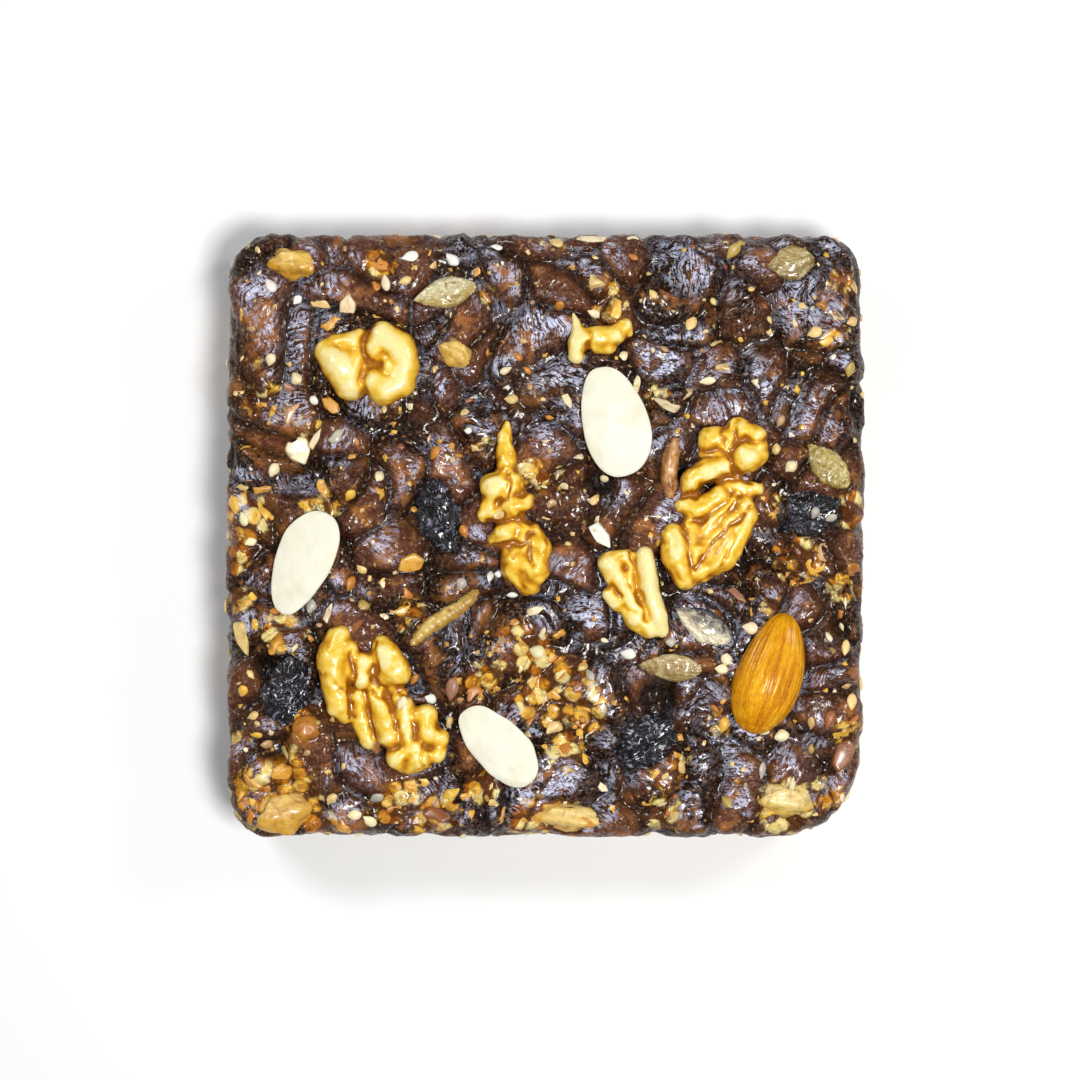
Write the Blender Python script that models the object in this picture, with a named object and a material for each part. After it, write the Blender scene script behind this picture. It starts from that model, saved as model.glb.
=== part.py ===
"""A pressed slab of date halwa: date paste full of seeds and nut chips, with walnuts and almonds on top.

Metres, +Z up. The origin is the middle of the slab's underside. +Y is the top edge of the slab as it is
seen from above. Every nut sits in a pocket of its own shape, so no two solids share any space.
"""

import math
import random

import bmesh
import bpy
from mathutils import Matrix, Quaternion, Vector, noise
from mathutils.bvhtree import BVHTree
from mathutils.kdtree import KDTree

MM = 0.001
UP = Vector((0, 0, 1))

# The slab: a block pressed in a square tray
SLAB_WIDTH = 127.6 * MM
SLAB_DEPTH = 120.6 * MM
SLAB_HEIGHT = 25 * MM
SHOULDER = 5 * MM
FOOT = 1.5 * MM
# Radius of each upright corner, keyed by the signs of x and y. The one at +X -Y lost its tip.
CORNERS = {(-1, 1): 9 * MM, (1, 1): 8 * MM, (1, -1): 16 * MM, (-1, -1): 9 * MM}
GRID = 4.7 * MM

# Lumps of date that show as low swellings with creases between them
LUMP_SPACING = 12 * MM
LUMP_TURN = math.radians(27)
WARP_LENGTH = 22 * MM
WARP = 12 * MM
LUMP_RELIEF = 1.7 * MM
CREASE_WIDTH = 4.0 * MM
WAVE_LENGTH = 34 * MM
WAVE_HEIGHT = 0.9 * MM
FLAT_FOOT_HEIGHT = 4 * MM
SIDE_RELIEF_SHARE = 0.4
LUMP_SEED = 7

# Holes between lumps: x, y, radius and depth, in millimetres
PITS = [
    (22.5, -33, 6, 3.4),
    (10.5, 11, 4, 2.6),
    (-55, -27, 5, 2.4),
    (-54, -43, 4, 2.2),
    (-24, 5, 5, 2.0),
    (57, -20, 4, 1.8),
    (25, 14, 4, 1.8),
]

# Gap between a nut and its pocket
POCKET_GAP = 0.35 * MM
WALNUT_POCKET_GAP = 0.85 * MM

# Walnuts: voxel of the joined lobes, and how many triangles each kernel keeps
KERNEL_VOXEL = 0.8 * MM
POCKET_VOXEL = 1.1 * MM
KERNEL_TRIANGLES_PER_CM2 = 43
POCKET_TRIANGLES_PER_CM2 = 16
FEWEST_POCKET_TRIANGLES = 80

# Each walnut: place of its middle, and lobes as chains of (x, y, height of centre, radius), in millimetres
WALNUTS = {
    "walnut_upper_left": {
        "place": (-35.4, 34.7),
        "lobes": [
            [(1.6, 2.6, 2.2, 2.6), (3.0, 4.9, 2.2, 3.1), (6.4, 2.9, 2.2, 3.3), (7.4, -0.7, 2.2, 3.2),
             (6.4, -4.3, 2.2, 3.2), (3.4, -5.7, 2.4, 3.2), (1.6, -4.2, 2.6, 2.8)],
            [(3.0, 1.0, 1.4, 2.7), (4.8, -1.6, 1.8, 2.9), (3.0, -2.4, 1.4, 2.6)],
            [(-7.8, 2.0, 1.4, 2.9), (-5.4, -0.8, 1.8, 3.8), (-3.4, -4.4, 1.6, 3.5)],
            [(-6.4, 3.5, 1.4, 2.1), (-2.8, 3.6, 1.6, 2.5), (-1.4, 5.1, 1.4, 1.7)],
            [(-2.4, 0.8, 1.6, 2.6), (-1.6, -3.4, 1.4, 2.6)],
        ],
    },
    "walnut_middle": {
        "place": (-5.9, 4.7),
        "lobes": [
            [(-1.7, 18.0, 0.8, 0.6), (-2.2, 15.0, 0.9, 1.7), (-1.8, 10.7, 1.0, 2.2), (-1.4, 7.6, 1.2, 2.6)],
            [(-4.4, 5.0, 1.4, 3.1), (-0.8, 6.0, 1.8, 2.8), (-0.6, 1.2, 1.6, 2.9)],
            [(-0.5, 2.0, 2.0, 2.2), (2.3, 2.3, 2.4, 1.9)],
            [(-4.6, 3.0, 1.2, 2.2), (-6.3, -0.5, 1.0, 1.9), (-3.4, 0.2, 1.0, 2.2)],
            [(-0.4, -1.0, 1.2, 2.6), (-1.8, -4.4, 1.5, 2.8), (-4.2, -5.6, 0.9, 1.6)],
            [(3.6, -3.4, 1.0, 1.6), (4.8, -7.0, 2.0, 2.5), (4.0, -11.6, 2.0, 3.3)],
            [(-0.6, -7.6, 1.2, 2.6), (0.2, -10.8, 1.6, 3.4), (2.6, -14.2, 1.2, 2.8)],
            [(1.0, -3.4, 0.8, 2.6), (2.2, -7.6, 1.4, 2.9), (2.2, -10.6, 1.8, 3.2)],
        ],
    },
    "walnut_top": {
        "place": (11.0, 39.0),
        "lobes": [
            [(-5.4, 5.2, 0.8, 0.6), (-4.4, 2.4, 1.2, 1.3), (-4.5, -0.6, 1.6, 2.2), (-4.7, -3.2, 1.2, 1.8)],
            [(-2.6, 0.8, 1.6, 2.1), (0.2, 0.6, 1.6, 2.4), (3.0, 1.0, 1.8, 2.3), (4.8, 2.9, 1.4, 1.7),
             (5.5, 1.5, 1.0, 1.3)],
            [(-0.8, -0.6, 1.2, 2.1), (1.8, -1.4, 1.2, 1.8)],
        ],
    },
    "walnut_right": {
        "place": (34.3, 6.7),
        "lobes": [
            [(4.1, 15.0, 1.6, 2.3), (7.4, 12.8, 1.8, 2.7), (7.8, 9.6, 1.8, 2.6), (5.6, 8.9, 2.0, 3.6)],
            [(2.8, 13.0, 1.5, 2.2), (-1.2, 12.8, 1.3, 2.5), (-2.3, 10.2, 1.2, 1.8), (2.0, 10.4, 1.6, 2.6)],
            [(1.6, 7.0, 2.2, 2.3), (-2.0, 6.2, 2.4, 2.6), (-5.0, 4.4, 2.0, 2.5), (-5.6, 2.8, 1.2, 2.0)],
            [(-6.8, -0.6, 1.2, 2.0), (-4.0, -1.6, 1.6, 2.4), (0.4, 1.2, 1.4, 2.4)],
            [(2.0, 4.4, 0.6, 2.4), (5.0, 2.6, 0.8, 2.1), (8.0, 2.6, 1.2, 1.6)],
            [(5.4, -0.8, 1.6, 2.5), (6.2, -2.8, 1.8, 2.2), (4.0, -6.6, 1.8, 2.7), (1.2, -11.0, 1.6, 3.0),
             (-2.0, -13.4, 1.2, 2.4)],
            [(2.8, 0.2, 1.4, 2.2), (-0.6, -3.6, 1.7, 2.2), (-3.4, -7.6, 1.4, 2.4)],
            [(4.6, -2.4, 1.4, 2.3), (0.8, -6.6, 1.6, 2.5), (-2.0, -10.6, 1.4, 2.6)],
            [(-8.6, -6.8, 1.6, 2.8), (-8.2, -10.6, 2.0, 3.4), (-6.2, -14.8, 1.5, 2.9)],
            [(-5.0, -5.0, 1.0, 2.4), (-5.0, -9.4, 1.4, 3.0), (-3.4, -13.6, 1.2, 2.8)],
        ],
    },
    "walnut_small_right": {
        "place": (17.5, -11.8),
        "lobes": [
            [(-1.4, 7.6, 1.2, 1.8), (-4.5, 6.2, 1.6, 2.6), (-3.6, 3.4, 1.4, 2.1)],
            [(-4.7, 0.1, 1.0, 1.7), (-2.8, -1.8, 1.2, 1.9)],
            [(2.4, 7.9, 1.8, 1.9), (2.9, 4.6, 2.0, 2.1), (3.4, 0.4, 2.0, 2.1), (4.8, -4.0, 1.8, 2.2),
             (5.7, -7.2, 1.2, 1.6)],
            [(-2.0, 3.6, 1.2, 2.2), (-1.4, -0.4, 1.4, 2.3), (0.8, -4.8, 1.4, 2.7), (3.2, -7.0, 1.2, 2.0)],
            [(0.6, 5.4, 0.8, 2.0), (0.8, 1.6, 0.8, 2.2)],
            [(-3.6, 5.4, 2.6, 0.7), (-1.3, 1.0, 3.2, 0.7), (0.4, -2.4, 3.2, 0.7)],
        ],
    },
    "walnut_lower_left": {
        "place": (-32.9, -32.8),
        "lobes": [
            [(-8.2, 12.5, 1.6, 2.6), (-9.3, 8.4, 1.8, 3.6), (-8.8, 2.4, 1.8, 2.9), (-8.3, -1.2, 1.6, 2.6),
             (-7.2, -3.1, 1.2, 1.8)],
            [(-6.8, 6.0, 1.6, 2.5), (-6.6, 10.0, 1.6, 2.6)],
            [(-3.6, 4.4, 2.2, 2.3), (-3.0, 7.8, 1.8, 2.0)],
            [(0.4, 10.8, 1.5, 2.3), (1.0, 9.0, 1.8, 3.2), (3.2, 5.8, 2.0, 3.3), (0.4, 5.4, 1.4, 2.5)],
            [(-1.0, 2.4, 1.0, 2.2), (-0.4, -0.2, 1.6, 1.9), (0.8, -3.4, 1.4, 2.5), (2.0, -7.2, 1.8, 2.7)],
            [(3.0, 2.0, 1.0, 2.0), (4.7, -0.8, 1.8, 2.2), (5.2, -4.4, 1.4, 2.5), (5.6, -7.6, 1.6, 2.8)],
            [(7.4, -3.6, 1.4, 2.2), (9.4, -2.8, 1.8, 2.3), (9.2, -6.6, 1.8, 2.6), (11.8, -7.6, 1.4, 2.2),
             (11.0, -10.6, 1.4, 2.3)],
            [(7.8, -11.4, 1.8, 2.9), (5.2, -13.0, 1.4, 2.1), (3.4, -11.4, 1.8, 2.6), (7.0, -9.0, 1.6, 2.8)],
            [(-4.6, 0.6, 0.2, 2.6), (-4.2, -3.4, 0.0, 2.2), (-2.4, -8.4, 0.0, 1.8)],
        ],
    },
}

# Almonds: place, spin from +Y, length, width and thickness, height of the middle, form, and whether it is
# split. All in millimetres and degrees. The form is how blunt the tip and the other end are, where the
# almond is fullest, and how much one side bulges more than the other.
ALMONDS = {
    "almond_whole": ((44.8, -27.6), -16, (25.0, 13.4, 8.4), 0.9, (0.36, 0.48, 1.26, 0.0), False),
    "almond_half_upper": ((13.2, 22.6), 13.6, (22.2, 13.4, 7.0), 2.2, (0.31, 0.40, 1.26, 0.12), True),
    "almond_half_left": ((-47.8, -5.6), 156, (21.8, 11.4, 6.4), 2.0, (0.30, 0.40, 1.36, 0.10), True),
    "almond_half_lower": ((-9.6, -42.2), 44, (19.4, 10.6, 6.4), 2.2, (0.32, 0.40, 1.16, -0.10), True),
}
ALMOND_RINGS = 9
ALMOND_SIDES = 12

# Flat seeds of melon and pumpkin pressed into the top: place, spin from +X, length, width, thickness
SEEDS = {
    "melon_seed_top": {"place": (-20.0, 48.4), "spin": 14, "size": (13.2, 6.2, 2.6)},
    "melon_seed_corner": {"place": (49.4, 54.6), "spin": 8, "size": (10.0, 7.0, 2.6)},
    "melon_seed_right": {"place": (56.4, 14.2), "spin": -48, "size": (12.0, 6.6, 2.6)},
    "melon_seed_middle": {"place": (31.8, -17.6), "spin": -30, "size": (13.0, 6.6, 2.8)},
    "melon_seed_lower": {"place": (25.0, -26.4), "spin": -4, "size": (13.0, 5.6, 2.4)},
}
SEED_RINGS = 6
SEED_SIDES = 8

# Raisins and pieces of nut and fruit as large as berries: place, spin, length, width, thickness
RAISINS = {
    "raisin_left": {"place": (-52.6, -30.4), "spin": 80, "size": (12.5, 9.5, 6.0)},
    "raisin_pit": {"place": (20.8, -40.4), "spin": 35, "size": (12.5, 9.5, 6.0)},
    "raisin_right": {"place": (51.8, 3.6), "spin": 10, "size": (12.0, 9.0, 6.5)},
    "raisin_middle": {"place": (-21.6, 4.6), "spin": -72, "size": (14.5, 8.5, 5.5)},
}
CHUNKS = {
    "cashew_chunk_corner": {"place": (-50.2, 54.2), "spin": -8, "size": (9.4, 5.8, 4.2)},
    "cashew_chunk_lower_left": {"place": (-51.6, -54.8), "spin": 12, "size": (11.0, 8.0, 5.0)},
    "cashew_chunk_lower": {"place": (5.4, -56.6), "spin": -6, "size": (13.0, 5.2, 4.4)},
    "cashew_chunk_right": {"place": (49.2, -53.4), "spin": -10, "size": (10.5, 6.2, 4.6)},
    "cashew_chunk_left": {"place": (-17.2, 36.4), "spin": -38, "size": (6.8, 5.2, 3.6)},
    "fig_strip": {"place": (-19.8, -15.6), "spin": 40, "size": (18.0, 3.6, 2.8)},
}

# Small pieces fused to the slab. Sizes are length, width and thickness.
SESAME_SIZE = (3.2 * MM, 1.9 * MM, 1.1 * MM)
SESAME_COUNT = 42
CHIP_SIZE = (3.4 * MM, 6.4 * MM)
CHIP_COUNT = 42
SIDE_CHIP_COUNT = 26
SMALL_SEED = 23
CHIP_SUNK = 0.12
SESAME_SUNK = -0.12
CLEAR_OF_NUTS = 1.8 * MM

COLOURS = {
    "date_paste": ((0.045, 0.018, 0.012), 0.35),
    "walnut": ((0.72, 0.42, 0.10), 0.35),
    "almond_skin": ((0.50, 0.19, 0.035), 0.35),
    "almond_flesh": ((0.88, 0.82, 0.66), 0.55),
    "seed_hull": ((0.42, 0.33, 0.16), 0.4),
    "raisin": ((0.012, 0.010, 0.014), 0.3),
    "cashew": ((0.66, 0.38, 0.08), 0.4),
}


def clear_scene():
    for thing in list(bpy.data.objects):
        bpy.data.objects.remove(thing)


def material(name):
    colour, roughness = COLOURS[name]
    made = bpy.data.materials.new(name)
    made.use_nodes = True
    shader = made.node_tree.nodes["Principled BSDF"]
    shader.inputs["Base Color"].default_value = (*colour, 1)
    shader.inputs["Roughness"].default_value = roughness
    return made


def new_object(name, bm, collection=None):
    """An object with this bmesh as its mesh, faces turned outwards. The bmesh is freed."""
    bmesh.ops.recalc_face_normals(bm, faces=bm.faces)
    if bm.calc_volume(signed=True) < 0:
        bmesh.ops.reverse_faces(bm, faces=bm.faces)
    mesh = bpy.data.meshes.new(name)
    bm.to_mesh(mesh)
    bm.free()
    made = bpy.data.objects.new(name, mesh)
    (collection or bpy.context.scene.collection).objects.link(made)
    return made


def baked(thing):
    """Applies an object's modifiers to its mesh."""
    bpy.context.view_layer.update()
    graph = bpy.context.evaluated_depsgraph_get()
    mesh = bpy.data.meshes.new_from_object(thing.evaluated_get(graph))
    thing.modifiers.clear()
    thing.data = mesh
    return thing


def finish(thing, material_name):
    thing.data.materials.clear()
    thing.data.materials.append(material(material_name))
    thing.data.shade_smooth()
    thing.data.set_sharp_from_angle(angle=math.radians(50))


def smooth_step(value):
    value = min(max(value, 0.0), 1.0)
    return value * value * (3 - 2 * value)


# The slab

def rounded_plan(x, y):
    """Moves a point of the sharp rectangle to the one with round upright corners."""
    side_x = math.copysign(1, x)
    side_y = math.copysign(1, y)
    radius = CORNERS[(side_x, side_y)]
    a = (abs(x) - (SLAB_WIDTH / 2 - radius)) / radius
    b = (abs(y) - (SLAB_DEPTH / 2 - radius)) / radius
    if a <= 0 or b <= 0:
        return x, y
    round_a = a * math.sqrt(max(0.0, 1 - b * b / 2))
    round_b = b * math.sqrt(max(0.0, 1 - a * a / 2))
    return (
        side_x * (SLAB_WIDTH / 2 - radius + round_a * radius),
        side_y * (SLAB_DEPTH / 2 - radius + round_b * radius),
    )


def rounded_block(x, y, z):
    """Moves a point of the sharp block to the one with a round shoulder at its top."""
    over_x = max(abs(x) - (SLAB_WIDTH / 2 - SHOULDER), 0.0)
    over_y = max(abs(y) - (SLAB_DEPTH / 2 - SHOULDER), 0.0)
    edge = max(over_x, over_y) / SHOULDER
    rise = max(z - (SLAB_HEIGHT - SHOULDER), 0.0) / SHOULDER
    if edge > 0 and rise > 0:
        round_edge = edge * math.sqrt(1 - rise * rise / 2)
        round_rise = rise * math.sqrt(1 - edge * edge / 2)
        shrink = round_edge / edge
        x = math.copysign(abs(x) - over_x * (1 - shrink), x)
        y = math.copysign(abs(y) - over_y * (1 - shrink), y)
        z = SLAB_HEIGHT - SHOULDER + round_rise * SHOULDER
    return Vector((*rounded_plan(x, y), z))


def side_levels():
    """Inset and height of each ring of points down the side, from under the top to the underside."""
    count = round((SLAB_HEIGHT - FOOT) / GRID)
    straight = [(0.0, SLAB_HEIGHT - (SLAB_HEIGHT - FOOT) * i / count) for i in range(1, count + 1)]
    foot = [(FOOT * (1 - math.cos(a)), FOOT * (1 - math.sin(a))) for a in (math.pi / 4, math.pi / 2)]
    return straight + foot


def slab_block():
    """The smooth block: a grid over the top, rings down the sides, one flat face below."""
    bm = bmesh.new()
    bmesh.ops.create_grid(
        bm, x_segments=round(SLAB_WIDTH / GRID), y_segments=round(SLAB_DEPTH / GRID), size=0.5
    )
    for v in bm.verts:
        v.co = Vector((v.co.x * SLAB_WIDTH, v.co.y * SLAB_DEPTH, SLAB_HEIGHT))
    edges = [e for e in bm.edges if e.is_boundary]
    outline = {}
    for inset, height in side_levels():
        made = bmesh.ops.extrude_edge_only(bm, edges=edges)["geom"]
        ring = [g for g in made if isinstance(g, bmesh.types.BMVert)]
        edges = [g for g in made if isinstance(g, bmesh.types.BMEdge) and g.is_boundary]
        for v in ring:
            outline[v] = inset
            v.co.z = height
    bmesh.ops.contextual_create(bm, geom=edges)
    for v in bm.verts:
        x, y, z = v.co
        inset = outline.get(v, 0.0)
        v.co = rounded_block(x * (1 - 2 * inset / SLAB_WIDTH), y * (1 - 2 * inset / SLAB_DEPTH), z)
    bmesh.ops.recalc_face_normals(bm, faces=bm.faces)
    bm.normal_update()
    return bm


def lump_centres():
    """Jittered places of the lumps of date, through the slab and a little beyond it."""
    draw = random.Random(LUMP_SEED)
    reach = math.hypot(SLAB_WIDTH, SLAB_DEPTH) / 2 + LUMP_SPACING
    columns = math.ceil(2 * reach / LUMP_SPACING)
    layers = math.ceil((SLAB_HEIGHT + LUMP_SPACING) / LUMP_SPACING)
    corner = Vector((-reach, -reach, -LUMP_SPACING / 2))
    centres = []
    for i in range(columns):
        for j in range(columns):
            for k in range(layers):
                cell = Vector((i, j, k)) + Vector([draw.uniform(0.1, 0.9) for _ in range(3)])
                centres.append(corner + cell * LUMP_SPACING)
    tree = KDTree(len(centres))
    for index, centre in enumerate(centres):
        tree.insert(centre, index)
    tree.balance()
    return tree


def among_lumps(point):
    """A point turned and warped before its lump is looked up, so that no crease runs straight."""
    return Matrix.Rotation(LUMP_TURN, 3, "Z") @ point + noise.noise_vector(point / WARP_LENGTH) * WARP


def slab_relief(point, lumps):
    """How far the surface stands out of the smooth block at a point."""
    near, far = [distance for _, _, distance in lumps.find_n(among_lumps(point), 2)]
    lump = LUMP_RELIEF * (smooth_step((far - near) / CREASE_WIDTH) - 0.6)
    wave = WAVE_HEIGHT * noise.noise(point / WAVE_LENGTH * 2)
    hole = 0.0
    for x, y, radius, depth in PITS:
        away = math.hypot(point.x - x * MM, point.y - y * MM) / (radius * MM)
        if away < 1 and point.z > SLAB_HEIGHT / 2:
            hole = max(hole, depth * MM * smooth_step(1.4 * (1 - away)))
    return (lump + wave - hole) * smooth_step(point.z / FLAT_FOOT_HEIGHT)


def slab_core():
    bm = slab_block()
    lumps = lump_centres()
    moved = []
    for v in bm.verts:
        share = SIDE_RELIEF_SHARE + (1 - SIDE_RELIEF_SHARE) * abs(v.normal.z)
        moved.append(v.co + v.normal * slab_relief(v.co, lumps) * share)
    for v, place in zip(bm.verts, moved):
        v.co = place
    bmesh.ops.triangulate(bm, faces=bm.faces)
    return new_object("date_slab", bm)


# Pieces that lie in the slab

def on_surface(surface, x, y):
    """The point of the slab's top at x, y, and which way it faces there."""
    place, facing, _, _ = surface.ray_cast(Vector((x, y, 2 * SLAB_HEIGHT)), -UP)
    return place, facing


def on_side(surface, angle, height):
    """The point of the slab's side in this direction from its middle, and which way it faces there."""
    away = Vector((math.cos(angle), math.sin(angle), 0))
    place, facing, _, _ = surface.ray_cast(away * SLAB_WIDTH + UP * height, -away)
    return place, facing


def laid(place, facing, spin):
    """Matrix that lays a flat piece at a place on the slab, turned about the way it faces."""
    turn = UP.rotation_difference(facing) @ Quaternion(UP, spin)
    return Matrix.Translation(place) @ turn.to_matrix().to_4x4()


def ringed_body(rings, sides, outline, section):
    """A closed body: rings along X of half-width outline(s), each a polygon of points section(turn)."""
    bm = bmesh.new()
    loops = []
    for i in range(1, rings):
        share = (1 - math.cos(math.pi * i / rings)) / 2
        half = outline(share)
        ring = [section(2 * math.pi * j / sides) for j in range(sides)]
        loops.append([bm.verts.new((share - 0.5, across * half, above * half)) for across, above in ring])
    for first, second in zip(loops, loops[1:]):
        for j in range(sides):
            bm.faces.new((first[j], first[(j + 1) % sides], second[(j + 1) % sides], second[j]))
    for loop, end in ((loops[0], -0.5), (loops[-1], 0.5)):
        tip = bm.verts.new((end, 0, 0))
        for j in range(sides):
            bm.faces.new((loop[j], loop[(j + 1) % sides], tip))
    return bm


def almond_outline(form):
    """Half-width of an almond along its length, from its tip at share 0 to its round end at share 1."""
    tip, end, fullest, _ = form

    def half_width(share):
        return 0.5 * math.sin(math.pi * share**fullest) ** (tip + (end - tip) * share)

    return half_width


def seed_outline(share):
    fullest = 1.15
    power = 0.8 - 0.2 * share
    return 0.5 * math.sin(math.pi * share**fullest) ** power


def oval_section(turn):
    return math.cos(turn), math.sin(turn)


def almond_section(form, split):
    """Section of an almond. The cut face of half an almond is nearly flat and looks up."""
    bulge = form[3]
    flatness = 0.22 if split else 1.0

    def section(turn):
        across, above = math.cos(turn), math.sin(turn)
        return across * (1 + math.copysign(bulge, across)), above if above < 0 else above * flatness

    return section


def shaped(name, bm, size, matrix, collection=None):
    """Scales a body of unit size, places it and makes it an object."""
    bm.transform(matrix @ Matrix.Diagonal((*size, 1)))
    return new_object(name, bm, collection)


def grown(size, gap):
    return [side + 2 * gap for side in size]


def nut_matrix(place, lift, spin):
    """Lays a nut at this height above the smooth slab. Its tip points along +Y before it is spun."""
    x, y = place
    top = Matrix.Translation((x * MM, y * MM, SLAB_HEIGHT + lift * MM))
    return top @ Matrix.Rotation(math.radians(spin - 90), 4, "Z")


def almonds(cutters):
    made = []
    for name, (place, spin, size, lift, form, split) in ALMONDS.items():
        section = almond_section(form, split)
        outline = almond_outline(form)
        matrix = nut_matrix(place, lift, spin)
        size = [side * MM for side in size]
        body = ringed_body(ALMOND_RINGS, ALMOND_SIDES, outline, section)
        made.append(shaped(name, body, size, matrix))
        finish(made[-1], "almond_flesh" if split else "almond_skin")
        bed = ringed_body(ALMOND_RINGS, ALMOND_SIDES, outline, section)
        shaped(name + "_bed", bed, grown(size, POCKET_GAP), matrix, cutters)
    return made


def pressed_pieces(pieces, body, colour, sink, surface, cutters):
    """Lays each piece on the slab, sunk by a share of its thickness, and adds its pocket to the cutters."""
    made = []
    for name, piece in pieces.items():
        x, y = piece["place"]
        place, facing = on_surface(surface, x * MM, y * MM)
        size = [side * MM for side in piece["size"]]
        matrix = laid(place - facing * size[2] * sink, facing, math.radians(piece["spin"]))
        made.append(shaped(name, body(), size, matrix))
        finish(made[-1], colour)
        shaped(name + "_bed", body(), grown(size, POCKET_GAP), matrix, cutters)
    return made


def seed_body():
    return ringed_body(SEED_RINGS, SEED_SIDES, seed_outline, oval_section)


def uneven_ball(rounds, unevenness, scale, seed):
    """A ball of unit width with smooth dents."""
    bm = bmesh.new()
    bmesh.ops.create_icosphere(bm, subdivisions=rounds, radius=0.5)
    shift = Vector((seed, 0, 0))
    for v in bm.verts:
        v.co *= 1 + unevenness * noise.noise(v.co * scale + shift)
    return bm


def raisin_body():
    return uneven_ball(2, 0.42, 3.2, 4)


def chunk_body():
    return uneven_ball(2, 0.32, 2.6, 11)


# Walnuts

def lobed_body(name, lobes, gap, voxel, collection=None):
    """Balls strung along each chain, joined by a voxel remesh and smoothed."""
    bm = bmesh.new()
    for chain in lobes:
        for start, end in zip(chain, chain[1:]):
            steps = max(2, math.ceil(math.dist(start[:3], end[:3]) / (0.45 * min(start[3], end[3]))))
            for i in range(steps + 1):
                x, y, z, radius = [a + (b - a) * i / steps for a, b in zip(start, end)]
                bmesh.ops.create_icosphere(
                    bm,
                    subdivisions=2,
                    radius=radius * MM + gap,
                    matrix=Matrix.Translation((x * MM, y * MM, z * MM)),
                )
    made = new_object(name, bm, collection)
    remesh = made.modifiers.new("join", "REMESH")
    remesh.mode = "VOXEL"
    remesh.voxel_size = voxel
    soften = made.modifiers.new("soften", "SMOOTH")
    soften.factor = 0.5
    soften.iterations = 3
    return baked(made)


def thinned(thing, triangles):
    """Collapses edges until about this many triangles are left."""
    thing.data.calc_loop_triangles()
    thin = thing.modifiers.new("thin", "DECIMATE")
    thin.ratio = triangles / len(thing.data.loop_triangles)
    thin.use_collapse_triangulate = True
    return baked(thing)


def walnuts(cutters):
    made = []
    for name, nut in WALNUTS.items():
        place = Vector((nut["place"][0] * MM, nut["place"][1] * MM, SLAB_HEIGHT))
        kernel = lobed_body(name, nut["lobes"], 0.0, KERNEL_VOXEL)
        area = sum(p.area for p in kernel.data.polygons) / (10 * MM) ** 2
        thinned(kernel, area * KERNEL_TRIANGLES_PER_CM2)
        bed = lobed_body(name + "_bed", nut["lobes"], WALNUT_POCKET_GAP, POCKET_VOXEL, cutters)
        thinned(bed, max(area * POCKET_TRIANGLES_PER_CM2, FEWEST_POCKET_TRIANGLES))
        for thing in (kernel, bed):
            thing.data.transform(Matrix.Translation(place))
        finish(kernel, "walnut")
        made.append(kernel)
    return made


# Seeds and chips fused to the slab

def chip_body(draw):
    """The convex hull of a few points thrown near a ball."""
    bm = bmesh.new()
    for _ in range(9):
        way = Vector([draw.gauss(0, 1) for _ in range(3)]).normalized()
        bm.verts.new(way * draw.uniform(0.42, 0.55))
    hull = bmesh.ops.convex_hull(bm, input=bm.verts)
    loose = [g for g in hull["geom_interior"] if isinstance(g, bmesh.types.BMVert)]
    bmesh.ops.delete(bm, geom=loose, context="VERTS")
    return bm


def nut_points(things):
    tree = KDTree(sum(len(t.data.vertices) for t in things))
    index = 0
    for thing in things:
        for v in thing.data.vertices:
            tree.insert(v.co, index)
            index += 1
    tree.balance()
    return tree


def fused_pieces(surface, nuts, collection):
    """Sesame and chips over the top, then chips round the sides, largest first and well apart."""
    draw = random.Random(SMALL_SEED)
    taken = []

    def spot_for(reach, sideways):
        for _ in range(400):
            if sideways:
                height = draw.uniform(0.24, 0.72) * SLAB_HEIGHT
                place, facing = on_side(surface, draw.uniform(0, 2 * math.pi), height)
            else:
                x = draw.uniform(-0.47, 0.47) * SLAB_WIDTH
                y = draw.uniform(-0.47, 0.47) * SLAB_DEPTH
                place, facing = on_surface(surface, x, y)
            if place is None or nuts.find(place)[2] < reach / 2 + CLEAR_OF_NUTS:
                continue
            if all((place - other).length > (reach + size) * 0.62 for other, size in taken):
                taken.append((place, reach))
                return place, facing
        return None

    sizes = sorted((draw.uniform(*CHIP_SIZE) for _ in range(CHIP_COUNT)), reverse=True)
    side_sizes = sorted((draw.uniform(*CHIP_SIZE) for _ in range(SIDE_CHIP_COUNT)), reverse=True)
    for kind, reaches, sideways in (("chip", sizes, False), ("side_chip", side_sizes, True)):
        for number, reach in enumerate(reaches):
            spot = spot_for(reach, sideways)
            if spot is None:
                continue
            place, facing = spot
            size = (reach, reach * draw.uniform(0.6, 0.9), reach * draw.uniform(0.5, 0.7))
            matrix = laid(place - facing * size[2] * CHIP_SUNK, facing, draw.uniform(0, 2 * math.pi))
            shaped(f"{kind}_{number}", chip_body(draw), size, matrix, collection)
    for number in range(SESAME_COUNT):
        spot = spot_for(SESAME_SIZE[0], False)
        if spot is None:
            continue
        place, facing = spot
        sunk = place - facing * SESAME_SIZE[2] * SESAME_SUNK
        matrix = laid(sunk, facing, draw.uniform(0, 2 * math.pi))
        seed = ringed_body(3, 6, seed_outline, oval_section)
        shaped(f"sesame_{number}", seed, SESAME_SIZE, matrix, collection)


def helper_collection(name):
    made = bpy.data.collections.new(name)
    bpy.context.scene.collection.children.link(made)
    return made


def boolean(thing, operation, collection):
    """Joins or cuts a whole collection at once, applies it and removes the collection."""
    change = thing.modifiers.new(operation.lower(), "BOOLEAN")
    change.operation = operation
    change.operand_type = "COLLECTION"
    change.collection = collection
    change.solver = "EXACT"
    baked(thing)
    for helper in list(collection.objects):
        bpy.data.objects.remove(helper)
    bpy.data.collections.remove(collection)


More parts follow.
